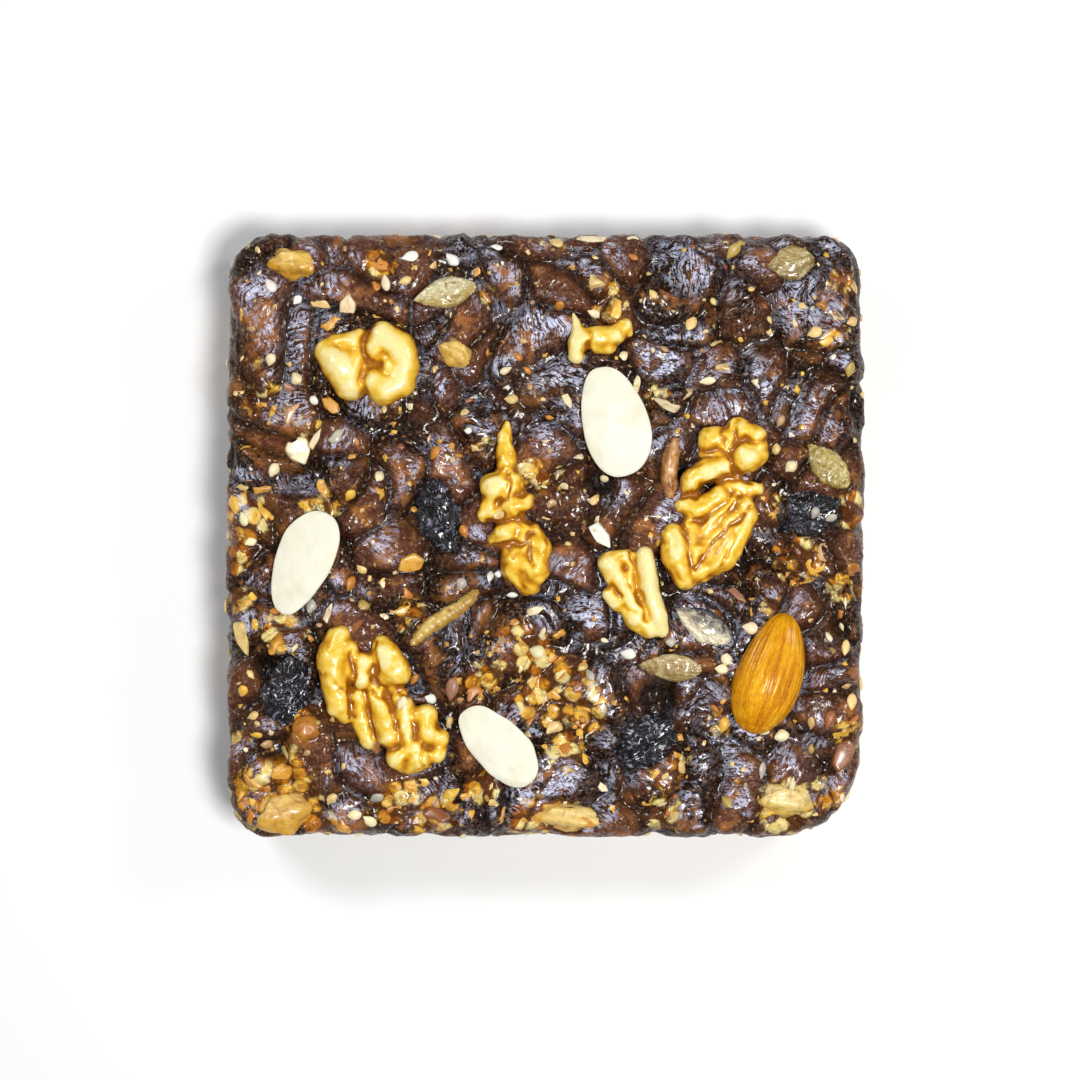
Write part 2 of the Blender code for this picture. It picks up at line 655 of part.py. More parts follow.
def build():
    clear_scene()
    noise.seed_set(LUMP_SEED)
    slab = slab_core()
    surface = BVHTree.FromPolygons(
        [v.co for v in slab.data.vertices], [tuple(p.vertices) for p in slab.data.polygons]
    )
    beds = helper_collection("beds")
    made = walnuts(beds) + almonds(beds)
    made += pressed_pieces(SEEDS, seed_body, "seed_hull", 0.12, surface, beds)
    made += pressed_pieces(RAISINS, raisin_body, "raisin", 0.28, surface, beds)
    made += pressed_pieces(CHUNKS, chunk_body, "cashew", 0.18, surface, beds)
    small = helper_collection("small")
    fused_pieces(surface, nut_points(made), small)
    boolean(slab, "UNION", small)
    boolean(slab, "DIFFERENCE", beds)
    finish(slab, "date_paste")


build()
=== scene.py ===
"""The looks of a slab of date halwa: sticky date paste full of seeds and nut chips, with walnuts and almonds
on top. Metres, +Z up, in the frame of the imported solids."""

import itertools
import math
import random

import bmesh
import bpy
import numpy as np
from mathutils import Matrix, Quaternion, Vector, noise
from mathutils.bvhtree import BVHTree

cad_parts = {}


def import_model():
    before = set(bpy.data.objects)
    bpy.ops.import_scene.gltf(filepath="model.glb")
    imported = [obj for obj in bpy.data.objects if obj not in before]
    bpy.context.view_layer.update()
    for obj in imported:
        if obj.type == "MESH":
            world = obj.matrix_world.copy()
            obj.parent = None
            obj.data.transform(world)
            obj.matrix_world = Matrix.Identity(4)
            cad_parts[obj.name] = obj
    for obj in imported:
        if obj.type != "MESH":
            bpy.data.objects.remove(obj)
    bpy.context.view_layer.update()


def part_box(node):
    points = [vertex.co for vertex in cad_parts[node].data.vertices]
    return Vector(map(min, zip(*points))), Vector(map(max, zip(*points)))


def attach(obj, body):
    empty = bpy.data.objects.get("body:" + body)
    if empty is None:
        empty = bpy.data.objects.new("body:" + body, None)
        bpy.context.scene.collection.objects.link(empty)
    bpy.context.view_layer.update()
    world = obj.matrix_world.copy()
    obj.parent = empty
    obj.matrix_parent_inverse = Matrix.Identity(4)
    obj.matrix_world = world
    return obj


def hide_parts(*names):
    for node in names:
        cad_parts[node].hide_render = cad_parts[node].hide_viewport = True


MM = 0.001
UP = Vector((0, 0, 1))
# Farther than any point of the slab, in metres
FAR_OFF = 9.0
# The spin of pieces at random goes up to this, a little over a full turn
SPIN_RANGE = 6.3
# No edge is sharper than this many degrees, so that a piece is smooth all over
ALL_SMOOTH = 180
# Values at a mesh's vertices: how many numbers each has, the kind of attribute, and its key
LAYER_KINDS = {1: ("FLOAT", "value"), 3: ("FLOAT_VECTOR", "vector"), 4: ("FLOAT_COLOR", "color")}

# The slab, as in its solid
SLAB_WIDTH = 127.6 * MM
SLAB_DEPTH = 120.6 * MM
SLAB_HEIGHT = 25 * MM
SHOULDER = 5 * MM
FOOT = 1.5 * MM
CORNERS = {(-1, 1): 9 * MM, (1, 1): 8 * MM, (1, -1): 16 * MM, (-1, -1): 9 * MM}
LUMP_SPACING = 12 * MM
LUMP_RELIEF = 1.7 * MM
CREASE_WIDTH = 4.0 * MM
LUMP_TURN = math.radians(27)
WARP_LENGTH = 22 * MM
WARP = 12 * MM
WAVE_LENGTH = 34 * MM
WAVE_HEIGHT = 0.9 * MM
FLAT_FOOT_HEIGHT = 4 * MM
SIDE_RELIEF_SHARE = 0.4
LUMP_SEED = 7
# Pits between the lumps: x, y, radius and depth in mm
PITS = [(22.5, -33, 6, 3.4), (10.5, 11, 4, 2.6), (-55, -27, 5, 2.4), (-54, -43, 4, 2.2), (-24, 5, 5, 2.0),
        (57, -20, 4, 1.8), (25, 14, 4, 1.8)]

# The fine surface: the mesh's spacing, the height of each kind of unevenness, and how a lump's grain runs
GRID = 0.52 * MM
SIDE_GRID = 0.7 * MM
FOLD_RELIEF = 0.45 * MM
WRINKLE_RELIEF = 0.34 * MM
ROUGH_RELIEF = 0.27 * MM
GRAIN_STRETCH = 0.24
GRAIN_SEED = 5
# Reach of the painted shade in the creases, and the depth at which a pit is painted fully black as painted
# shade
CREASE_SHADE = 3.8 * MM
PIT_SHADE_DEPTH = 2.4 * MM
NUT_CLEARANCE = 0.5 * MM
# Below this depth the sides have amber pockets of their own, with this much between the two
TOP_AMBER_DEPTH = 6 * MM
AMBER_FADE = 7 * MM

# Where the photograph's frame looks: one pixel is 0.2 mm at the slab's top
PIXEL = 0.2 * MM
MIDDLE_PIXEL = (545, 535.5)
CAMERA_PLACE = (-1.0 * MM, -0.9 * MM, 535 * MM)
LENS = 85

# Lamps: name, place, size, power and colour
LIGHT_AIM = Vector((0, 0, 0.02))
LIGHTS = [
    ("key", (0.13, -0.09, 0.58), 0.14, 3.1, (1.0, 0.99, 0.97)),
    ("fill", (-0.32, 0.28, 0.46), 0.16, 1.2, (0.97, 0.98, 1.0)),
    ("rim", (0.40, 0.20, 0.40), 0.12, 0.7, (0.95, 0.97, 1.0)),
]

# Walnuts: place, lobes as chains of (x, y, height, radius), creases as (depth, width, path), pale parts as
# (width, path), all in mm. The tone is how pale the kernel is, the billow how knobbly.
WALNUTS = {
    "walnut_upper_left": {
        "place": (-35.4, 34.7),
        "tone": -0.11, "billow": 0.12,
        "pale": [(3.4, (-6.0, 0.6), (-3.0, -4.6)), (2.4, (3.4, 5.0), (6.8, 1.0), (5.2, -5.0))],
        "lobes": [
            [(1.6, 2.6, 2.2, 2.6), (3.0, 4.9, 2.2, 3.1), (6.4, 2.9, 2.2, 3.3), (7.4, -0.7, 2.2, 3.2),
             (6.4, -4.3, 2.2, 3.2), (3.4, -5.7, 2.4, 3.2), (1.6, -4.2, 2.6, 2.8)],
            [(3.0, 1.0, 1.4, 2.7), (4.8, -1.6, 1.8, 2.9), (3.0, -2.4, 1.4, 2.6)],
            [(-7.8, 2.0, 1.4, 2.9), (-5.4, -0.8, 1.8, 3.8), (-3.4, -4.4, 1.6, 3.5)],
            [(-6.4, 3.5, 1.4, 2.1), (-2.8, 3.6, 1.6, 2.5), (-1.4, 5.1, 1.4, 1.7)],
            [(-2.4, 0.8, 1.6, 2.6), (-1.6, -3.4, 1.4, 2.6)],
        ],
        "creases": [
            (1.3, 0.7, (0.7, 7.6), (-0.4, 4.9), (-0.4, 1.1), (-0.5, -1.3), (-1.2, -3.6), (-0.8, -8.0)),
            (1.3, 0.6, (-0.4, 0.3), (2.9, -0.5)),
            (0.7, 0.8, (-0.6, 1.0), (-3.2, 1.8), (-5.4, 3.2), (-8.6, 3.6)),
            (0.4, 0.9, (-4.2, -2.6), (-6.4, -5.4)),
        ],
    },
    "walnut_middle": {
        "place": (-5.9, 4.7),
        "tone": -0.24, "billow": 0.6,
        "pale": [(2.6, (-4.6, 6.4), (-4.0, 4.4)), (1.2, (-5.6, 0.2), (-3.4, 0.6))],
        "lobes": [
            [(-1.7, 18.0, 0.8, 0.6), (-2.2, 15.0, 0.9, 1.7), (-1.8, 10.7, 1.0, 2.2), (-1.4, 7.6, 1.2, 2.6)],
            [(-4.4, 5.0, 1.4, 3.1), (-0.8, 6.0, 1.8, 2.8), (-0.6, 1.2, 1.6, 2.9)],
            [(-0.5, 2.0, 2.0, 2.2), (2.3, 2.3, 2.4, 1.9)],
            [(-4.6, 3.0, 1.2, 2.2), (-6.3, -0.5, 1.0, 1.9), (-3.4, 0.2, 1.0, 2.2)],
            [(-0.4, -1.0, 1.2, 2.6), (-1.8, -4.4, 1.5, 2.8), (-4.2, -5.6, 0.9, 1.6)],
            [(3.6, -3.4, 1.0, 1.6), (4.8, -7.0, 2.0, 2.5), (4.0, -11.6, 2.0, 3.3)],
            [(-0.6, -7.6, 1.2, 2.6), (0.2, -10.8, 1.6, 3.4), (2.6, -14.2, 1.2, 2.8)],
            [(1.0, -3.4, 0.8, 2.6), (2.2, -7.6, 1.4, 2.9), (2.2, -10.6, 1.8, 3.2)],
        ],
        "creases": [
            (1.2, 0.5, (-4.8, -7.2), (-1.6, -6.9), (1.0, -6.2), (3.4, -4.4)),
            (0.9, 0.5, (2.6, -5.4), (2.4, -8.0), (3.4, -10.6)),
            (1.2, 0.5, (-5.0, -2.6), (-2.0, -1.9), (1.0, -1.4), (3.6, -0.8)),
            (0.8, 0.5, (-4.4, 1.2), (-1.9, 3.0), (-1.2, 7.2)),
            (0.8, 0.5, (-0.6, 3.4), (1.0, 3.8), (2.6, 4.2)),
            (0.6, 0.5, (-3.8, 8.6), (-1.0, 9.4), (0.4, 8.6)),
            (0.5, 0.6, (-2.6, -10.4), (0.4, -12.6), (1.6, -15.4)),
        ],
    },
    "walnut_top": {
        "place": (11.0, 39.0),
        "tone": -0.10, "billow": 0.45,
        "pale": [(1.7, (-4.8, 4.0), (-4.6, -0.6), (-5.0, -3.4))],
        "lobes": [
            [(-5.4, 5.2, 0.8, 0.6), (-4.4, 2.4, 1.2, 1.3), (-4.5, -0.6, 1.6, 2.2), (-4.7, -3.2, 1.2, 1.8)],
            [(-2.6, 0.8, 1.6, 2.1), (0.2, 0.6, 1.6, 2.4), (3.0, 1.0, 1.8, 2.3), (4.8, 2.9, 1.4, 1.7),
             (5.5, 1.5, 1.0, 1.3)],
            [(-0.8, -0.6, 1.2, 2.1), (1.8, -1.4, 1.2, 1.8)],
        ],
        "creases": [
            (0.9, 0.6, (-2.8, 3.0), (-2.3, 0.6), (-2.9, -2.4)),
            (0.4, 0.6, (1.5, 3.0), (0.9, 0.4), (1.3, -2.8)),
            (0.5, 0.6, (4.9, 4.6), (4.5, 2.2), (5.6, 0.2)),
        ],
    },
    "walnut_right": {
        "place": (34.3, 6.7),
        "tone": -0.18, "billow": 0.5,
        "pale": [(1.7, (7.2, 10.6), (5.6, 9.4)), (1.4, (-2.4, 5.6), (1.0, 6.8)),
                 (1.8, (-8.4, -7.4), (-7.6, -9.0))],
        "lobes": [
            [(4.1, 15.0, 1.6, 2.3), (7.4, 12.8, 1.8, 2.7), (7.8, 9.6, 1.8, 2.6), (5.6, 8.9, 2.0, 3.6)],
            [(2.8, 13.0, 1.5, 2.2), (-1.2, 12.8, 1.3, 2.5), (-2.3, 10.2, 1.2, 1.8), (2.0, 10.4, 1.6, 2.6)],
            [(1.6, 7.0, 2.2, 2.3), (-2.0, 6.2, 2.4, 2.6), (-5.0, 4.4, 2.0, 2.5), (-5.6, 2.8, 1.2, 2.0)],
            [(-6.8, -0.6, 1.2, 2.0), (-4.0, -1.6, 1.6, 2.4), (0.4, 1.2, 1.4, 2.4)],
            [(2.0, 4.4, 0.6, 2.4), (5.0, 2.6, 0.8, 2.1), (8.0, 2.6, 1.2, 1.6)],
            [(5.4, -0.8, 1.6, 2.5), (6.2, -2.8, 1.8, 2.2), (4.0, -6.6, 1.8, 2.7), (1.2, -11.0, 1.6, 3.0),
             (-2.0, -13.4, 1.2, 2.4)],
            [(2.8, 0.2, 1.4, 2.2), (-0.6, -3.6, 1.7, 2.2), (-3.4, -7.6, 1.4, 2.4)],
            [(4.6, -2.4, 1.4, 2.3), (0.8, -6.6, 1.6, 2.5), (-2.0, -10.6, 1.4, 2.6)],
            [(-8.6, -6.8, 1.6, 2.8), (-8.2, -10.6, 2.0, 3.4), (-6.2, -14.8, 1.5, 2.9)],
            [(-5.0, -5.0, 1.0, 2.4), (-5.0, -9.4, 1.4, 3.0), (-3.4, -13.6, 1.2, 2.8)],
        ],
        "creases": [
            (0.9, 0.45, (2.3, 9.6), (3.2, 12.0), (4.0, 16.6)),
            (1.1, 0.5, (2.3, 9.7), (-0.2, 10.4), (-4.0, 10.4)),
            (0.8, 0.45, (2.6, 10.6), (5.4, 12.4), (9.2, 12.2)),
            (1.0, 0.5, (2.2, 9.2), (3.0, 6.8), (4.4, 5.4)),
            (0.7, 0.4, (1.0, 15.0), (0.8, 12.6), (1.8, 10.8)),
            (1.3, 0.55, (-7.4, 1.2), (-4.6, 1.8), (-1.4, 3.6), (2.2, 5.0), (6.0, 4.4)),
            (0.7, 0.5, (-5.6, -4.2), (-2.6, -3.6), (0.6, -1.2), (3.6, 2.0)),
            (0.55, 0.5, (-4.6, -8.4), (-1.4, -5.0), (1.4, -2.8), (5.0, 0.8)),
            (1.1, 0.45, (-4.6, -13.6), (-1.9, -9.4), (1.6, -5.2), (6.4, -1.2)),
            (0.7, 0.5, (-7.4, -4.4), (-6.0, -8.0), (-5.6, -13.0), (-4.4, -16.4)),
            (0.6, 0.45, (-1.0, -16.0), (1.4, -11.2), (3.6, -7.2)),
        ],
    },
    "walnut_small_right": {
        "place": (17.5, -11.8),
        "tone": 0.0, "billow": 0.3,
        "pale": [(2.4, (2.4, 7.9), (3.4, 0.4), (5.5, -6.6)), (1.8, (2.4, 7.9), (3.4, 0.4), (5.5, -6.6)),
                 (0.8, (-3.6, 5.4), (0.4, -2.4))],
        "lobes": [
            [(-1.4, 7.6, 1.2, 1.8), (-4.5, 6.2, 1.6, 2.6), (-3.6, 3.4, 1.4, 2.1)],
            [(-4.7, 0.1, 1.0, 1.7), (-2.8, -1.8, 1.2, 1.9)],
            [(2.4, 7.9, 1.8, 1.9), (2.9, 4.6, 2.0, 2.1), (3.4, 0.4, 2.0, 2.1), (4.8, -4.0, 1.8, 2.2),
             (5.7, -7.2, 1.2, 1.6)],
            [(-2.0, 3.6, 1.2, 2.2), (-1.4, -0.4, 1.4, 2.3), (0.8, -4.8, 1.4, 2.7), (3.2, -7.0, 1.2, 2.0)],
            [(0.6, 5.4, 0.8, 2.0), (0.8, 1.6, 0.8, 2.2)],
            [(-3.6, 5.4, 2.6, 0.7), (-1.3, 1.0, 3.2, 0.7), (0.4, -2.4, 3.2, 0.7)],
        ],
        "creases": [
            (1.7, 0.6, (-0.7, 9.6), (0.2, 5.8), (0.9, 1.6), (1.7, -1.6), (2.9, -5.2)),
            (0.9, 0.45, (-2.6, 7.4), (-1.6, 4.4), (-0.4, 1.6)),
            (1.0, 0.5, (-7.0, 1.8), (-4.2, 1.8), (-2.6, 0.0)),
            (0.8, 0.5, (-4.4, -3.4), (-1.8, -2.6), (-0.2, -3.4)),
            (0.5, 0.5, (-1.4, -6.8), (1.4, -6.2), (3.6, -9.4)),
        ],
    },
    "walnut_lower_left": {
        "place": (-32.9, -32.8),
        "tone": -0.12, "billow": 0.35,
        "pale": [(1.6, (1.2, 9.4), (1.0, 7.6)), (1.2, (-3.6, 5.4), (-2.8, 7.4)),
                 (1.0, (5.4, -3.6), (5.2, -5.0))],
        "lobes": [
            [(-8.2, 12.5, 1.6, 2.6), (-9.3, 8.4, 1.8, 3.6), (-8.8, 2.4, 1.8, 2.9), (-8.3, -1.2, 1.6, 2.6),
             (-7.2, -3.1, 1.2, 1.8)],
            [(-6.8, 6.0, 1.6, 2.5), (-6.6, 10.0, 1.6, 2.6)],
            [(-3.6, 4.4, 2.2, 2.3), (-3.0, 7.8, 1.8, 2.0)],
            [(0.4, 10.8, 1.5, 2.3), (1.0, 9.0, 1.8, 3.2), (3.2, 5.8, 2.0, 3.3), (0.4, 5.4, 1.4, 2.5)],
            [(-1.0, 2.4, 1.0, 2.2), (-0.4, -0.2, 1.6, 1.9), (0.8, -3.4, 1.4, 2.5), (2.0, -7.2, 1.8, 2.7)],
            [(3.0, 2.0, 1.0, 2.0), (4.7, -0.8, 1.8, 2.2), (5.2, -4.4, 1.4, 2.5), (5.6, -7.6, 1.6, 2.8)],
            [(7.4, -3.6, 1.4, 2.2), (9.4, -2.8, 1.8, 2.3), (9.2, -6.6, 1.8, 2.6), (11.8, -7.6, 1.4, 2.2),
             (11.0, -10.6, 1.4, 2.3)],
            [(7.8, -11.4, 1.8, 2.9), (5.2, -13.0, 1.4, 2.1), (3.4, -11.4, 1.8, 2.6), (7.0, -9.0, 1.6, 2.8)],
            [(-4.6, 0.6, 0.2, 2.6), (-4.2, -3.4, 0.0, 2.2), (-2.4, -8.4, 0.0, 1.8)],
        ],
        "creases": [
            (1.2, 0.5, (-1.4, 11.6), (-1.3, 8.0), (-1.0, 4.6), (0.2, 2.4)),
            (1.1, 0.5, (-5.2, 9.6), (-5.0, 4.6), (-5.8, 0.8), (-5.4, -3.6)),
            (0.8, 0.4, (-4.6, 6.4), (-2.8, 6.2), (-1.6, 5.6)),
            (0.6, 0.5, (-12.6, 5.0), (-9.8, 4.8), (-7.2, 2.2)),
            (1.0, 0.5, (-1.4, 1.2), (2.2, 1.0), (4.0, 1.8), (6.4, 1.6)),
            (0.35, 0.7, (0.4, -5.2), (3.4, -5.0), (7.0, -4.6), (12.0, -5.2)),
            (0.6, 0.6, (3.4, -5.0), (4.6, -8.8), (3.2, -9.4), (0.4, -9.6)),
            (0.6, 0.5, (7.0, -4.6), (7.6, -7.6), (9.2, -9.4), (13.4, -9.2)),
            (0.5, 0.5, (4.6, -8.8), (5.2, -11.4), (4.6, -15.4)),
            (0.6, 0.4, (9.2, -9.4), (8.4, -12.0), (9.4, -14.6)),
        ],
    },
}
# Balls to a lobe as a share of their radius, how finely they are joined and how often blended, and the
# creases' depth and width as shares of those in the table
BALL_STEP = 0.35
KERNEL_VOXEL = 0.3 * MM
BLEND_ROUNDS = 8
SHADE_ROUNDS = 40
CREASE_DEPTH = 0.42
CREASE_SPREAD = 1.35

# Almonds: place, spin, size, height, form (tip, end, where fullest, bulge), and whether split
ALMONDS = {
    "almond_whole": ((44.8, -27.6), -16, (25.0, 13.4, 8.4), 0.9, (0.36, 0.48, 1.26, 0.0), False),
    "almond_half_upper": ((13.2, 22.6), 13.6, (22.2, 13.4, 7.0), 2.2, (0.31, 0.40, 1.26, 0.12), True),
    "almond_half_left": ((-47.8, -5.6), 156, (21.8, 11.4, 6.4), 2.0, (0.30, 0.40, 1.36, 0.10), True),
    "almond_half_lower": ((-9.6, -42.2), 44, (19.4, 10.6, 6.4), 2.2, (0.32, 0.40, 1.16, -0.10), True),
}
# How uneven a split almond's outline is, and that of those whose rim is broken
UNEVEN = 0.018
RAGGED = {"almond_half_lower": 0.07, "almond_half_left": 0.03}

# Pieces pressed into the paste: place, spin, size, tints of the near and the far side; for seeds also
# whether ribs run across
SEEDS = {
    "melon_seed_top": ((-20.0, 48.4), 14, (13.2, 6.2, 2.6), (0.46, 0.34, 0.10), (0.68, 0.64, 0.40), 0.0),
    "melon_seed_corner": ((49.4, 54.6), 8, (10.0, 7.0, 2.6), (0.26, 0.18, 0.05), (0.42, 0.32, 0.12), 0.0),
    "melon_seed_right": ((56.4, 14.2), -48, (12.0, 6.6, 2.6), (0.34, 0.26, 0.06), (0.56, 0.46, 0.16), 1.0),
    "melon_seed_middle": ((31.8, -17.6), -30, (13.0, 6.6, 2.8), (0.80, 0.74, 0.56), (0.030, 0.030, 0.045),
                          0.0),
    "melon_seed_lower": ((25.0, -26.4), -4, (13.0, 5.6, 2.4), (0.34, 0.24, 0.08), (0.50, 0.38, 0.18), 0.5),
}
CHUNKS = {
    "cashew_chunk_corner": ((-50.2, 54.2), -8, (9.4, 5.8, 4.2), (0.60, 0.30, 0.025), (0.74, 0.48, 0.10)),
    "cashew_chunk_lower_left": ((-51.6, -54.8), 12, (11.0, 8.0, 5.0), (0.62, 0.34, 0.04), (0.72, 0.48, 0.14)),
    "cashew_chunk_lower": ((5.4, -56.6), -6, (13.0, 5.2, 4.4), (0.70, 0.44, 0.08), (0.78, 0.58, 0.20)),
    "cashew_chunk_right": ((49.2, -53.4), -10, (10.5, 6.2, 4.6), (0.72, 0.50, 0.12), (0.78, 0.62, 0.26)),
    "cashew_chunk_left": ((-17.2, 36.4), -38, (6.8, 5.2, 3.6), (0.66, 0.42, 0.08), (0.74, 0.52, 0.14)),
    "fig_strip": ((-19.8, -15.6), 40, (18.0, 3.6, 2.8), (0.42, 0.24, 0.035), (0.60, 0.42, 0.10)),
}
# Raisins: place, spin, size
RAISINS = {
    "raisin_left": ((-52.6, -30.4), 80, (12.5, 9.5, 6.0)),
    "raisin_pit": ((20.8, -40.4), 35, (12.5, 9.5, 6.0)),
    "raisin_right": ((51.8, 3.6), 10, (12.0, 9.0, 6.5)),
    "raisin_middle": ((-21.6, 4.6), -72, (14.5, 8.5, 5.5)),
}

# Patches of amber, nut-rich paste: pixel of the photograph, radius in mm, strength
AMBER = [
    (240, 519, 7, 1.0), (234, 556, 5, 0.9), (239, 601, 4, 0.7), (284, 633, 6, 0.8), (305, 722, 5, 0.8),
    (282, 784, 10, 1.0), (255, 800, 8, 1.0), (235, 743, 4, 0.7), (320, 826, 5, 0.9), (399, 805, 7, 0.8),
    (434, 816, 7, 0.8), (482, 786, 5, 0.8), (534, 820, 7, 0.9), (413, 618, 5, 0.6), (523, 649, 8, 0.9),
    (480, 680, 5, 0.7), (544, 701, 7, 0.9), (560, 690, 9, 0.9), (586, 713, 6, 0.8), (565, 755, 6, 0.7),
    (561, 824, 7, 0.9), (670, 771, 6, 0.6), (665, 813, 6, 0.6), (787, 809, 8, 0.9), (850, 734, 5, 0.6),
    (770, 608, 4, 0.5), (843, 587, 5, 0.5), (797, 556, 7, 0.6), (718, 723, 4, 0.5), (824, 797, 5, 0.6),
    (853, 510, 5, 0.9), (776, 506, 4, 0.6), (829, 328, 5, 0.7), (839, 280, 4, 0.7), (801, 312, 4, 0.4),
    (791, 385, 4, 0.4), (546, 480, 6, 0.5), (657, 395, 4, 0.5), (534, 475, 5, 0.7), (486, 446, 3.5, 0.4),
    (457, 446, 5, 0.4), (315, 508, 6, 0.6), (305, 427, 4, 0.6), (270, 405, 7, 0.5), (380, 263, 4, 0.9),
    (488, 294, 3, 0.8), (255, 361, 3, 0.6), (390, 320, 4, 0.3), (610, 300, 5, 0.6), (552, 240, 4, 0.5),
]

# Painted sheen: a silvery highlight painted into the colour on the slopes that lean this way, most in these
# patches: pixel, radius in mm, strength
SHEEN_WAY = (-0.26, 0.22, 0.94)
SHEEN = [
    (290, 335, 8, 1.0), (445, 380, 6, 0.7), (500, 290, 7, 0.6), (545, 330, 8, 0.9), (600, 262, 6, 0.6),
    (690, 255, 9, 1.0), (765, 245, 6, 0.5), (675, 355, 9, 1.0), (745, 395, 9, 0.8), (800, 300, 8, 0.6),
    (560, 430, 7, 0.8), (600, 610, 8, 0.9), (560, 580, 6, 0.6), (705, 600, 6, 0.8), (615, 670, 5, 0.6),
    (630, 750, 8, 0.8), (560, 790, 8, 0.8), (730, 750, 9, 1.0), (780, 720, 6, 0.6), (700, 700, 6, 0.6),
    (460, 620, 7, 0.5), (500, 570, 6, 0.5), (410, 470, 7, 0.4), (340, 450, 4, 0.8), (360, 770, 6, 0.5),
    (265, 295, 6, 0.8), (330, 280, 5, 0.6), (280, 590, 6, 0.4), (800, 410, 7, 0.6), (690, 640, 5, 0.6),
    (755, 790, 8, 0.6), (430, 300, 6, 0.4), (820, 650, 5, 0.3),
]
